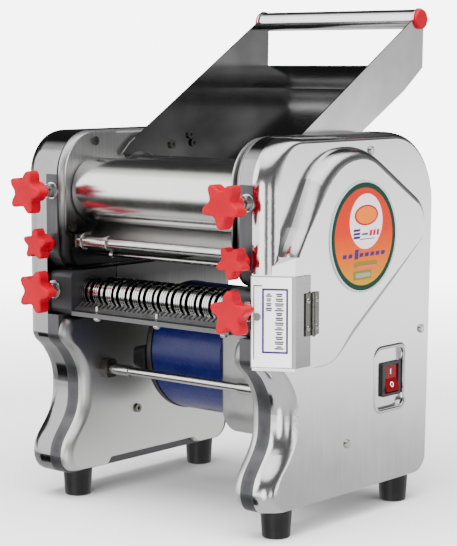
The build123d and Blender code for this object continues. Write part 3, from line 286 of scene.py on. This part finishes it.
def inner_plate_steel():
    """Satin steel of the inner plates, with painted shade: darker low down behind the rollers."""
    material, nodes = blank("inner_plate_steel")
    shader = finish_with(nodes, 1.0)
    low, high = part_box("upper_plates")
    place = nodes.place()
    lines = nodes.noise(900, ALONG_Z, detail=5)
    height = nodes.remap(place["Z"], 0.0, 1.0, low.z, high.z)
    # painted shade: the base colour goes near black towards the bottom of the plates
    shade = nodes.ramp(
        height,
        ((0.0, grey(0.02)), (0.30, grey(0.05)), (0.42, grey(0.22)), (0.55, grey(0.56)), (1.0, grey(0.66))),
    )
    streak = nodes.ramp(lines, ((0.3, grey(0.75)), (0.7, (1, 1, 1))))
    nodes.link(nodes.mix(1.0, shade, streak, "MULTIPLY"), shader.inputs["Base Color"])
    nodes.link(nodes.remap(lines, 0.38, 0.48), shader.inputs["Roughness"])
    nodes.link(nodes.bump(lines, 0.04, 0.0004), shader.inputs["Normal"])
    return material


def cutter_steel(node):
    """Turned steel of a cutter: bright on the rings, with painted shade dark down in the grooves."""
    material, nodes = blank(node + "_steel")
    shader = finish_with(nodes, 1.0)
    _, _, reach = about_axis(nodes, node)
    marks = nodes.noise(1500, AROUND_X, detail=5)
    tone = nodes.maths("ADD", reach, nodes.maths("MULTIPLY", marks, 0.04))
    # painted shade: the colour goes near black down the sides of the rings and in the grooves
    colour = nodes.ramp(tone, ((0.78, grey(0.015)), (0.93, grey(0.08)), (0.985, (0.75, 0.75, 0.74))))
    nodes.link(colour, shader.inputs["Base Color"])
    nodes.link(nodes.remap(marks, 0.14, 0.26), shader.inputs["Roughness"])
    nodes.link(nodes.bump(marks, 0.05, 0.0003), shader.inputs["Normal"])
    return material


def tray_steel():
    """Polished sheet of the tray, with painted shade: dark inside, bright outside."""
    material, nodes = blank("tray_steel")
    shader = finish_with(nodes, 1.0)
    place = nodes.place()
    low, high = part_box("tray_handle")
    centre = (low.x + high.x) / 2
    half = (high.x - low.x) / 2 + 0.4 * MM
    away = nodes.maths("ABSOLUTE", nodes.maths("SUBTRACT", place["X"], centre))
    outside = nodes.maths("GREATER_THAN", away, half)
    cloud = nodes.noise(14, detail=3)
    lines = nodes.noise(900, ALONG_Y, detail=5)
    bright = nodes.ramp(cloud, ((0.3, grey(0.52)), (0.7, grey(0.72))))
    # painted shade: a darker copy of the steel for the inside of the tray
    shaded_inside = nodes.ramp(cloud, ((0.3, grey(0.13)), (0.7, grey(0.24))))
    nodes.link(nodes.mix(outside, shaded_inside, bright), shader.inputs["Base Color"])
    nodes.link(nodes.remap(lines, 0.10, 0.18), shader.inputs["Roughness"])
    nodes.link(nodes.bump(lines, 0.01, 0.0003), shader.inputs["Normal"])
    return material


def lower_shell_steel():
    """Brushed lining of the lower walls, shaded towards its top."""
    material, nodes = blank("lower_shell_steel")
    shader = finish_with(nodes, 1.0)
    low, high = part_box("left_lower_shell")
    place = nodes.place()
    lines = nodes.noise(1200, ALONG_Z, detail=5)
    height = nodes.remap(place["Z"], 0.0, 1.0, low.z, high.z)
    tone = nodes.maths("ADD", height, nodes.maths("MULTIPLY", lines, 0.06))
    colour = nodes.ramp(
        tone,
        ((0.08, (0.72, 0.72, 0.71)), (0.45, (0.60, 0.60, 0.59)), (0.75, grey(0.33)), (0.97, grey(0.07))),
    )
    nodes.link(colour, shader.inputs["Base Color"])
    nodes.link(nodes.remap(lines, 0.34, 0.46), shader.inputs["Roughness"])
    nodes.link(nodes.bump(lines, 0.04, 0.0004), shader.inputs["Normal"])
    return material


def make_finishes():
    """One material for each of the record's slots."""
    return {
        "dark_cast_paint": moulding(
            "dark_cast_paint", (0.035, 0.035, 0.037), (0.06, 0.06, 0.063), 0.26, 0.4, 900, 0.25, metallic=0.7
        ),
        "dark_bright_steel": metal(
            "dark_bright_steel", (0.22, 0.22, 0.225), (0.30, 0.30, 0.305), 0.08, 0.14, ALONG_Y, 900
        ),
        "satin_steel": metal(
            "satin_steel", (0.60, 0.60, 0.59), (0.74, 0.74, 0.73), 0.26, 0.36, ALONG_Z, 1200, 0.03
        ),
        "polished_steel": metal(
            "polished_steel", (0.72, 0.72, 0.725), (0.80, 0.80, 0.805), 0.12, 0.17, ALONG_Z, 900, 0.008
        ),
        "black_rubber": moulding("black_rubber", grey(0.004), grey(0.009), 0.3, 0.42, 1500, 0.25),
        "zinc_steel": metal(
            "zinc_steel", (0.45, 0.45, 0.44), (0.62, 0.62, 0.61), 0.16, 0.28, ALONG_X, 1500, 0.05, 120
        ),
        "dark_steel": metal(
            "dark_steel", (0.13, 0.125, 0.115), (0.24, 0.23, 0.21), 0.25, 0.4, ALONG_X, 900, 0.1, 150
        ),
        "blue_enamel": moulding(
            "blue_enamel", (0.0004, 0.0012, 0.032), (0.001, 0.003, 0.06), 0.22, 0.32, 500, 0.1, specular=0.3
        ),
        "black_plastic": moulding(
            "black_plastic", grey(0.005), (0.012, 0.012, 0.013), 0.3, 0.42, 1800, 0.2
        ),
        "grey_casting": moulding(
            "grey_casting", grey(0.20), (0.32, 0.32, 0.318), 0.38, 0.5, 700, 0.4, metallic=0.8
        ),
        "cast_alloy": moulding("cast_alloy", grey(0.05), grey(0.11), 0.35, 0.5, 800, 0.4, metallic=0.9),
        "gear_steel": metal(
            "gear_steel", (0.36, 0.35, 0.34), (0.55, 0.54, 0.52), 0.25, 0.4, AROUND_X, 1500, 0.1, 90
        ),
        "roller_steel": metal(
            "roller_steel", (0.62, 0.62, 0.61), (0.74, 0.74, 0.73), 0.16, 0.24, AROUND_X, 1500, 0.02, 40
        ),
        "bronze": metal(
            "bronze", (0.45, 0.27, 0.12), (0.60, 0.40, 0.2), 0.25, 0.4, AROUND_X, 1200, 0.08, 80
        ),
        "red_plastic": moulding(
            "red_plastic", (0.30, 0.0, 0.008), (0.36, 0.0, 0.011), 0.28, 0.36, 1500, 0.04, specular=0.1
        ),
        "crimson_plastic": moulding(
            "crimson_plastic", (0.10, 0.0, 0.002), (0.15, 0.0, 0.003), 0.2, 0.28, 1500, 0.04, specular=0.2
        ),
        "printed_badge": badge_material(),
    }


def make_inks():
    """The printed colours of the badge, the label and the rocker."""
    colours = (
        ("white", grey(0.86)),
        ("pink_white", (0.72, 0.55, 0.62)),
        ("red", (0.30, 0.006, 0.010)),
        ("red_soft", (0.48, 0.08, 0.05)),
        ("orange", (0.60, 0.13, 0.004)),
        ("blue", (0.012, 0.012, 0.09)),
        ("teal", (0.03, 0.07, 0.11)),
        ("grey", (0.02, 0.018, 0.028)),
        ("purple", (0.035, 0.012, 0.09)),
        ("green", (0.14, 0.12, 0.01)),
        ("sage", (0.18, 0.22, 0.15)),
    )
    return {name: ink("ink_" + name, colour) for name, colour in colours}


# ------------------------------------------------------------------ mesh helpers
def add_piece(name, mesh, material, body, bevel=0.0, sharp=35):
    """Links a finished bmesh as a piece that rides on a body."""
    bmesh.ops.recalc_face_normals(mesh, faces=mesh.faces)
    data = bpy.data.meshes.new(name)
    for face in mesh.faces:
        face.smooth = True
    mesh.to_mesh(data)
    mesh.free()
    data.set_sharp_from_angle(angle=radians(sharp))
    data.materials.append(material)
    piece = bpy.data.objects.new(name, data)
    bpy.context.scene.collection.objects.link(piece)
    if bevel:
        modifier = piece.modifiers.new("bevel", "BEVEL")
        modifier.width = bevel
        modifier.segments = 3
        modifier.limit_method = "ANGLE"
        modifier.harden_normals = True
    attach(piece, body)
    return piece


def add_prism(mesh, outline, origin, u, v, depth):
    """Adds a plate with that outline in the u, v plane, standing out from it by depth."""
    out = u.cross(v)
    back = [mesh.verts.new(origin + u * a + v * b) for a, b in outline]
    front = [mesh.verts.new(vertex.co + out * depth) for vertex in back]
    mesh.faces.new(back[::-1])
    mesh.faces.new(front)
    count = len(back)
    for index in range(count):
        following = (index + 1) % count
        mesh.faces.new((back[index], back[following], front[following], front[index]))


def join_rings(mesh, rings):
    """Joins a row of equal rings of points into a closed skin, the last ring to the first."""
    for ring, following in zip(rings, rings[1:] + rings[:1]):
        count = len(ring)
        for step in range(count):
            after = (step + 1) % count
            mesh.faces.new((ring[step], ring[after], following[after], following[step]))


def add_lathe(mesh, profile, centre, axis, side, steps=48):
    """Adds a closed profile of (along, radius) points turned about an axis."""
    other = axis.cross(side)
    rings = []
    for along, radius in profile:
        ring = []
        for step in range(steps):
            turn = 2 * pi * step / steps
            offset = side * (radius * cos(turn)) + other * (radius * sin(turn))
            ring.append(mesh.verts.new(centre + axis * along + offset))
        rings.append(ring)
    join_rings(mesh, rings)


def circle(radius, steps=48, squash=1.0, centre=(0.0, 0.0)):
    """Outline of a circle, or of an oval if it is squashed."""
    return [
        (centre[0] + radius * cos(2 * pi * s / steps), centre[1] + radius * squash * sin(2 * pi * s / steps))
        for s in range(steps)
    ]


def rectangle(a0, b0, a1, b1, slant=0.0):
    """Outline of a rectangle, or of a slanted bar."""
    return [(a0, b0), (a1, b0), (a1 + slant, b1), (a0 + slant, b1)]


# ------------------------------------------------------------------ detail pieces
HEX_CORNER = 1.155  # a hexagon's reach to a corner over its reach to a flat


def add_nut(name, centre, across, thickness, bore, material, slot, body):
    """Hexagon nut on a stud along Y, its chamfered face to the front."""
    mesh = bmesh.new()
    steps = 48
    turns = [2 * pi * step / steps for step in range(steps)]
    flat = across / 2
    chamfer = 0.4 * MM
    rings = []
    for along, corner in ((0, 1.0), (thickness * 0.82, 1.0), (thickness, 0.9)):
        ring = []
        for turn in turns:
            from_flat = (turn + pi / 6) % (pi / 3) - pi / 6
            reach = min(flat / cos(from_flat), flat * HEX_CORNER * corner)
            point = centre - Y * along + X * (reach * sin(turn)) + Z * (reach * cos(turn))
            ring.append(mesh.verts.new(point))
        rings.append(ring)
    for along, radius in ((thickness, bore + chamfer), (thickness - chamfer, bore), (0, bore)):
        rings.append([
            mesh.verts.new(centre - Y * along + X * (radius * sin(turn)) + Z * (radius * cos(turn)))
            for turn in turns
        ])
    join_rings(mesh, rings)
    return add_piece(name, mesh, material, body, bevel=0.15 * MM)


def add_washer(name, centre, radius, bore, thickness, material, slot, body):
    """Flat ring on a stud along Y, its front edge broken."""
    mesh = bmesh.new()
    edge = 0.25 * MM
    profile = [(0, bore), (0, radius), (thickness - edge, radius)]
    profile += [(thickness, radius - edge), (thickness, bore)]
    add_lathe(mesh, profile, centre, -Y, X)
    return add_piece(name, mesh, material, body)


def add_domed_screw(name, centre, out, radius, height, material, slot, body):
    """Domed head with a round recess in its middle."""
    mesh = bmesh.new()
    side = Z if abs(out.z) < 0.5 else X
    profile = [(0, 0.02 * MM), (0, radius)]
    profile += [(height * sin(pi / 2 * s / 6), radius * cos(pi / 2 * s / 6) ** 0.8) for s in range(1, 6)]
    profile += [(height, 0.25 * radius), (height * 0.45, 0.2 * radius), (height * 0.45, 0.02 * MM)]
    add_lathe(mesh, profile, centre, out, side, 32)
    return add_piece(name, mesh, material, body)


def knob_fittings(finishes):
    """A washer and a nut on the stud of each cutter knob and each gap knob."""
    steel = (finishes["zinc_steel"], "zinc_steel")
    bore = 5.1 * MM
    for side in ("left", "right"):
        low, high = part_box("gap_screw_" + side)
        block_low, block_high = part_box("cutter_block_" + side)
        x = (low.x + high.x) / 2
        stud = (block_low.z + block_high.z) / 2 + 2.5 * MM
        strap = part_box("bearing_straps")[0].y
        body = "cutter_knob_" + side
        seat = Vector((x, block_low.y - 0.3 * MM, stud))
        add_washer("cutter_washer_" + side, seat, 8.5 * MM, bore, 1.5 * MM, *steel, body)
        add_nut("cutter_nut_" + side, seat - Y * 1.5 * MM, 13 * MM, 5.5 * MM, bore, *steel, body)
        body = "gap_knob_" + side
        seat = Vector((x, strap - 0.4 * MM, (low.z + high.z) / 2))
        add_washer("gap_washer_" + side, seat, 7.8 * MM, bore, 1.4 * MM, *steel, body)
        add_nut("gap_nut_" + side, seat - Y * 1.4 * MM, 12.5 * MM, 6 * MM, bore, *steel, body)


def hinge_screws(finishes):
    """Two domed screws in each leaf of the door's hinge, near the leaf's free edge."""
    steel = (finishes["zinc_steel"], "zinc_steel")
    inset = 3.4 * MM
    for leaf, body in (("door_leaf", "gear_door"), ("hinge_leaf", "frame")):
        low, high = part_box(leaf)
        y = low.y + inset if leaf == "door_leaf" else high.y - inset
        for name, z in (("upper", high.z - 6.5 * MM), ("lower", low.z + 6.5 * MM)):
            centre = Vector((LEAF_FACE_X[leaf], y, z))
            add_domed_screw(f"{leaf}_screw_{name}", centre, X, 2.6 * MM, 1.5 * MM, *steel, body)


def door_plane():
    """Origin at the free edge of the door's front panel, at its bottom, and the way out of the panel."""
    out = DOOR_ALONG.cross(Z)
    points = [v.co for v in frame["nodes"]["gear_door"].data.vertices]
    face = max(p @ out for p in points)
    edge = min(p @ DOOR_ALONG for p in points if p @ out > face - 0.2 * MM)
    low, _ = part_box("gear_door")
    return out * face + DOOR_ALONG * edge + Z * low.z, out


def door_label(inks):
    """Purple frame with generic dashes in two columns, and the thin line that borders the label."""
    origin, out = door_plane()
    start, end, bottom, top = 9.5 * MM, 31.5 * MM, 12.5 * MM, 67 * MM
    line = 1.7 * MM
    depth = 0.12 * MM
    print_origin = origin + out * depth
    card = bmesh.new()
    add_prism(card, rectangle(0.6 * MM, 0.8 * MM, 34.5 * MM, 76.2 * MM), origin, DOOR_ALONG, Z, depth)
    add_piece("label_card", card, inks["white"], "gear_door")
    border = bmesh.new()
    for shape in (
        rectangle(start, bottom, start + line, top),
        rectangle(end - line, bottom, end, top),
        rectangle(start + line, bottom, end - line, bottom + line),
        rectangle(start + line, top - line, end - line, top),
    ):
        add_prism(border, shape, print_origin, DOOR_ALONG, Z, depth)
    add_piece("label_frame", border, inks["purple"], "gear_door")
    dashes = bmesh.new()
    pitch = 4.0 * MM
    for column, (left, width, rows) in enumerate(((3.0, 5.6, 4), (10.6, 8.0, 12))):
        for row in range(rows):
            high = top - 4.2 * MM - row * pitch
            middle = start + (left + width / 2) * MM
            for part in range(2):
                length = width * MM * (0.55 + 0.4 * ((row * 5 + part * 3 + column) % 4) / 3)
                base = high - part * 1.6 * MM
                shape = rectangle(middle - length / 2, base - 1.15 * MM, middle + length / 2, base)
                add_prism(dashes, shape, print_origin, DOOR_ALONG, Z, depth)
    add_piece("label_dashes", dashes, inks["grey"], "gear_door")
    edge_line = bmesh.new()
    add_prism(edge_line, rectangle(2.2 * MM, 7 * MM, 3.0 * MM, 69.5 * MM), print_origin, DOOR_ALONG, Z, depth)
    add_prism(edge_line, rectangle(3.0 * MM, 68.6 * MM, start, 69.5 * MM), print_origin, DOOR_ALONG, Z, depth)
    add_piece("label_edge_line", edge_line, inks["grey"], "gear_door")


def badge_graphics(inks):
    """Raised print on the badge: a pale oval, a small orange circle and generic bars."""
    low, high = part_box("badge_plate")
    origin = Vector((high.x, (low.y + high.y) / 2, (low.z + high.z) / 2))
    layer = 0.1 * MM

    def print_shapes(name, shapes, level, colour):
        mesh = bmesh.new()
        for shape in shapes:
            add_prism(mesh, [(a * MM, b * MM) for a, b in shape], origin + X * (level * layer), Y, Z, layer)
        add_piece(name, mesh, inks[colour], "frame")

    print_shapes("badge_oval", [circle(24, centre=(3, 13))], 0, "pink_white")
    print_shapes("badge_circle_rim", [circle(17.3, squash=0.52, centre=(3, 18.4))], 1, "red")
    print_shapes("badge_circle", [circle(15.0, squash=0.50, centre=(3, 18.4))], 2, "orange")
    blue = [rectangle(-16, -1.4 + n * 3.1, -6.5, 0.7 + n * 3.1, 1.0) for n in range(3)]
    print_shapes("badge_blue_bars", blue, 1, "blue")
    print_shapes("badge_teal_bar", [rectangle(-4, 1.2, 5, 3.0, 1.0)], 1, "teal")
    red = [rectangle(7.5 + 5.2 * n, 0.2, 11 + 5.2 * n, 5.2, 1.0) for n in range(3)]
    print_shapes("badge_red_bars", red, 1, "red")
    print_shapes("badge_thin_bar", [rectangle(-6, -2.6, 15, -1.9)], 1, "grey")
    purple = [rectangle(-31 + 8 * n, -17.5, -25.5 + 8 * n, -14, 0.8) for n in range(8) if n != 2]
    purple.append(rectangle(-14, -19, -8.5, -10.5, 0.8))
    print_shapes("badge_purple_bars", purple, 0, "purple")
    green = [rectangle(-14.7, -26, 19, -21.7), rectangle(-15.5, -37, 11, -29.5)]
    print_shapes("badge_green_panels", green, 0, "green")
    print_shapes("badge_red_panel", [rectangle(-11, -28.4, 18, -25.2)], 1, "red_soft")
    print_shapes("badge_pale_panel", [rectangle(-12, -35.5, 9.5, -31.5)], 1, "sage")


def rocker_marks(inks):
    """Plain bar and ring on the rocker."""
    rocker = frame["nodes"]["rocker"]
    low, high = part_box("rocker")
    middle = (low.y + high.y) / 2
    depth = 0.12 * MM
    for name, z in (("bar", high.z - 6 * MM), ("ring", low.z + 6 * MM)):
        _, place, normal, _ = rocker.ray_cast(Vector((1, middle, z)), -X)
        up = (Z - normal * normal.z).normalized()
        mesh = bmesh.new()
        if name == "bar":
            bar = rectangle(-0.5 * MM, -2.4 * MM, 0.5 * MM, 2.4 * MM)
            add_prism(mesh, bar, place, up.cross(normal), up, depth)
        else:
            profile = [(0, 1.7 * MM), (0, 2.5 * MM), (depth, 2.5 * MM), (depth, 1.7 * MM)]
            add_lathe(mesh, profile, place, normal, up, 32)
        add_piece("rocker_mark_" + name, mesh, inks["white"], "rocker")


def scraper_fittings(finishes):
    """Bright collar, thicker sleeve and ball end on the bars below the rollers."""
    steel = finishes["zinc_steel"]
    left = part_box("upper_plates")[0].x + 12 * MM
    bar = Vector((left, *SCRAPER_BAR_YZ))
    bore, edge = 4.6, 0.5
    mesh = bmesh.new()
    for start, end, radius in ((3, 7.5, 7.6), (7.5, 34, 6.0), (34, 38, 6.8)):
        profile = [(start, bore), (start, radius - edge), (start + edge, radius)]
        profile += [(end - edge, radius), (end, radius - edge), (end, bore)]
        add_lathe(mesh, [(a * MM, r * MM) for a, r in profile], bar, X, Z)
    add_piece("scraper_bar_sleeve", mesh, steel, "frame")
    rod = Vector((left, *GUIDE_ROD_YZ))
    mesh = bmesh.new()
    profile = [(6 + 3.8 * (1 - cos(pi * s / 12)), max(2.55, 4.2 * sin(pi * s / 12))) for s in range(13)]
    profile += [(13.6, 2.52), (6.0, 2.52)]
    add_lathe(mesh, [(a * MM, r * MM) for a, r in profile], rod, X, Z, 32)
    add_piece("guide_rod_ball", mesh, steel, "frame")


def cord_bushing(finishes):
    """Ribbed rubber bushing in the cord hole."""
    low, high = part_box("cord_gland")
    centre = Vector(((low.x + high.x) / 2, low.y, (low.z + high.z) / 2))
    flange = (high.x - low.x) / 2
    reach = high.y - low.y
    bore = 3.0 * MM
    step = 0.9 * MM
    profile = [(0, bore), (0, 0.62 * flange), (0.35 * reach, 0.62 * flange), (0.35 * reach, 0.72 * flange)]
    for rib in range(3):
        start = reach * (0.42 + 0.16 * rib)
        width = flange * (0.70 - 0.07 * rib)
        profile += [(start, width), (start + 0.08 * reach, width), (start + 0.08 * reach, width - step)]
        profile += [(start + 0.14 * reach, width - step)]
    profile += [(0.9 * reach, 0.42 * flange), (0.9 * reach, bore)]
    mesh = bmesh.new()
    add_lathe(mesh, profile, centre, Y, X, 40)
    piece = add_piece("cord_bushing", mesh, finishes["black_rubber"], "frame")
    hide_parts("cord_gland")


# Section of the bead in millimetres: how far it stands out, and how far past the mouth of the recess.
BEAD_SECTION = (
    (-3.6, -0.1), (-0.6, -0.1), (0.3, 0.5), (0.75, 1.4), (0.8, 2.2),
    (0.4, 3.2), (0.0, 4.0), (-0.5, 4.0), (-0.5, 0.6),
)


def recess_bead(finishes):
    """Rounded bead round the mouth of the switch recess."""
    centre = Vector((RECESS_X, (RECESS_Y[0] + RECESS_Y[1]) / 2, (RECESS_Z[0] + RECESS_Z[1]) / 2))
    straight_y = (RECESS_Y[1] - RECESS_Y[0]) / 2 - RECESS_CORNER
    straight_z = (RECESS_Z[1] - RECESS_Z[0]) / 2 - RECESS_CORNER
    mesh = bmesh.new()
    loops = []
    for out, grow in BEAD_SECTION:
        loop = []
        corner = RECESS_CORNER + grow * MM
        for quarter in range(4):
            for step in range(9):
                turn = pi / 2 * (quarter + step / 8)
                across = straight_y * (1 if quarter in (0, 3) else -1) + corner * cos(turn)
                up = straight_z * (1 if quarter in (0, 1) else -1) + corner * sin(turn)
                loop.append(mesh.verts.new(centre + X * out * MM + Y * across + Z * up))
        loops.append(loop)
    join_rings(mesh, loops)
    add_piece("switch_recess_bead", mesh, finishes["polished_steel"], "frame", sharp=60)


# ------------------------------------------------------------------ studio
STUDIO_POWER = 3.0
BACKDROP = grey(2.2)
FLOOR_SOLID = 0.55  # radius up to which the floor is solid, in metres
FLOOR_FADE = 1.7  # radius at which it has faded out

# Brightness of the studio by the sine of the elevation, for reflections.
STUDIO_BANDS = (
    (-1.0, 0.30), (-0.6, 0.30), (-0.32, 0.26), (-0.22, 0.20), (-0.14, 0.85), (-0.08, 0.75),
    (0.0, 0.30), (0.09, 0.10), (0.3, 0.04), (0.55, 0.06), (0.68, 0.6), (0.9, 0.85), (1.0, 0.7),
)
# Cards in the studio: direction, cosine where each starts, cosine where it is full, brightness.
STUDIO_CARDS = (
    ((-0.60, 0.62, 0.50), 0.60, 0.82, 0.012),
    ((-0.62, -0.62, 0.32), 0.87, 0.91, 1.0),
    ((-0.57, -0.64, -0.52), 0.94, 0.97, 0.01),
    ((0.97, -0.15, 0.0), 0.955, 0.985, 0.05),
    ((0.62, -0.78, 0.0), 0.97, 0.985, 0.08),
    ((0.25, -0.95, -0.12), 0.95, 0.98, 1.0),
)


def sky():
    """Pale to the camera; in reflections a bright horizon and soft cards with darker walls between."""
    world = bpy.data.worlds.new("studio")
    world.use_nodes = True
    bpy.context.scene.world = world
    nodes = Nodes(world.node_tree)
    where = nodes.add("ShaderNodeTexCoord")
    way = nodes.add("ShaderNodeSeparateXYZ")
    nodes.link(where.outputs["Generated"], way.inputs["Vector"])
    height = nodes.remap(way.outputs["Z"], 0.0, 1.0, -1.0, 1.0)
    seen = nodes.ramp(height, [((sine + 1) / 2, grey(level)) for sine, level in STUDIO_BANDS])
    for direction, start, full, level in STUDIO_CARDS:
        facing = nodes.add("ShaderNodeVectorMath", operation="DOT_PRODUCT")
        nodes.link(where.outputs["Generated"], facing.inputs[0])
        facing.inputs[1].default_value = Vector(direction).normalized()
        card = nodes.ramp(facing.outputs["Value"], ((start, (0, 0, 0)), (full, (1, 1, 1))))
        seen = nodes.mix(card, seen, grey(level))
    rays = nodes.add("ShaderNodeLightPath")
    colour = nodes.mix(rays.outputs["Is Camera Ray"], seen, BACKDROP)
    light = nodes.add("ShaderNodeBackground")
    light.inputs["Strength"].default_value = STUDIO_POWER
    nodes.link(colour, light.inputs["Color"])
    output = nodes.add("ShaderNodeOutputWorld")
    nodes.link(light.outputs["Background"], output.inputs["Surface"])


def floor():
    """Round pale floor that fades into the backdrop."""
    mesh = bmesh.new()
    bmesh.ops.create_circle(mesh, cap_ends=True, segments=96, radius=FLOOR_FADE * 1.1)
    data = bpy.data.meshes.new("floor")
    mesh.to_mesh(data)
    mesh.free()
    material, nodes = blank("floor")
    paint = nodes.add("ShaderNodeBsdfDiffuse")
    fleck = nodes.noise(40, detail=5)
    nodes.link(nodes.ramp(fleck, ((0.3, grey(0.86)), (0.7, grey(0.89)))), paint.inputs["Color"])
    clear = nodes.add("ShaderNodeBsdfTransparent")
    reach = nodes.add("ShaderNodeVectorMath", operation="LENGTH")
    nodes.link(nodes.coordinates(), reach.inputs[0])
    fade = nodes.remap(reach.outputs["Value"], 0.0, 1.0, FLOOR_SOLID, FLOOR_FADE)
    mixed = nodes.add("ShaderNodeMixShader")
    nodes.link(fade, mixed.inputs["Fac"])
    nodes.link(paint.outputs["BSDF"], mixed.inputs[1])
    nodes.link(clear.outputs["BSDF"], mixed.inputs[2])
    output = nodes.add("ShaderNodeOutputMaterial")
    nodes.link(mixed.outputs["Shader"], output.inputs["Surface"])
    data.materials.append(material)
    ground = bpy.data.objects.new("floor", data)
    bpy.context.scene.collection.objects.link(ground)
    ground.visible_glossy = False


def area_light(name, place, target, size, power):
    data = bpy.data.lights.new(name, "AREA")
    data.shape = "RECTANGLE"
    data.size, data.size_y = size
    data.energy = power
    lamp = bpy.data.objects.new(name, data)
    lamp.location = place
    lamp.rotation_euler = (Vector(target) - Vector(place)).to_track_quat("-Z", "Y").to_euler()
    lamp.visible_glossy = False
    bpy.context.scene.collection.objects.link(lamp)


def lights():
    area_light("overhead", (0.2, -0.5, 2.4), (0, 0, 0.2), (2.4, 2.4), 150)
    area_light("right_fill", (2.2, 0.2, 1.3), (0, 0, 0.2), (1.4, 1.8), 36)
    area_light("front_fill", (0.5, -2.4, 1.1), (0, 0, 0.2), (1.6, 1.6), 40)


# ------------------------------------------------------------------ scene
def apply_finishes(finishes):
    """Gives each CAD node the material of its slot, or for some nodes a material of their own."""
    slot_of = {part["node"]: part["material_slot"] for part in RECORD["subparts"]}
    inner, lining = inner_plate_steel(), lower_shell_steel()
    special = {
        "upper_plates": inner,
        "left_lower_shell": lining,
        "right_lower_shell": lining,
        "front_cutter": cutter_steel("front_cutter"),
        "rear_cutter": cutter_steel("rear_cutter"),
        "cutter_combs": finishes["cast_alloy"],
        "bearing_straps": inner,
        "feed_tray": tray_steel(),
        "panel_screws": finishes["dark_steel"],
        "gear_door": finishes["dark_bright_steel"],
    }
    for name, node in frame["nodes"].items():
        material = special.get(name) or finishes[slot_of[name]]
        node.data.materials.clear()
        node.data.materials.append(material)


add_camera()
sky()
lights()
floor()
FINISHES = make_finishes()
INKS = make_inks()
apply_finishes(FINISHES)
knob_fittings(FINISHES)
hinge_screws(FINISHES)
door_label(INKS)
badge_graphics(INKS)
rocker_marks(INKS)
scraper_fittings(FINISHES)
recess_bead(FINISHES)
cord_bushing(FINISHES)
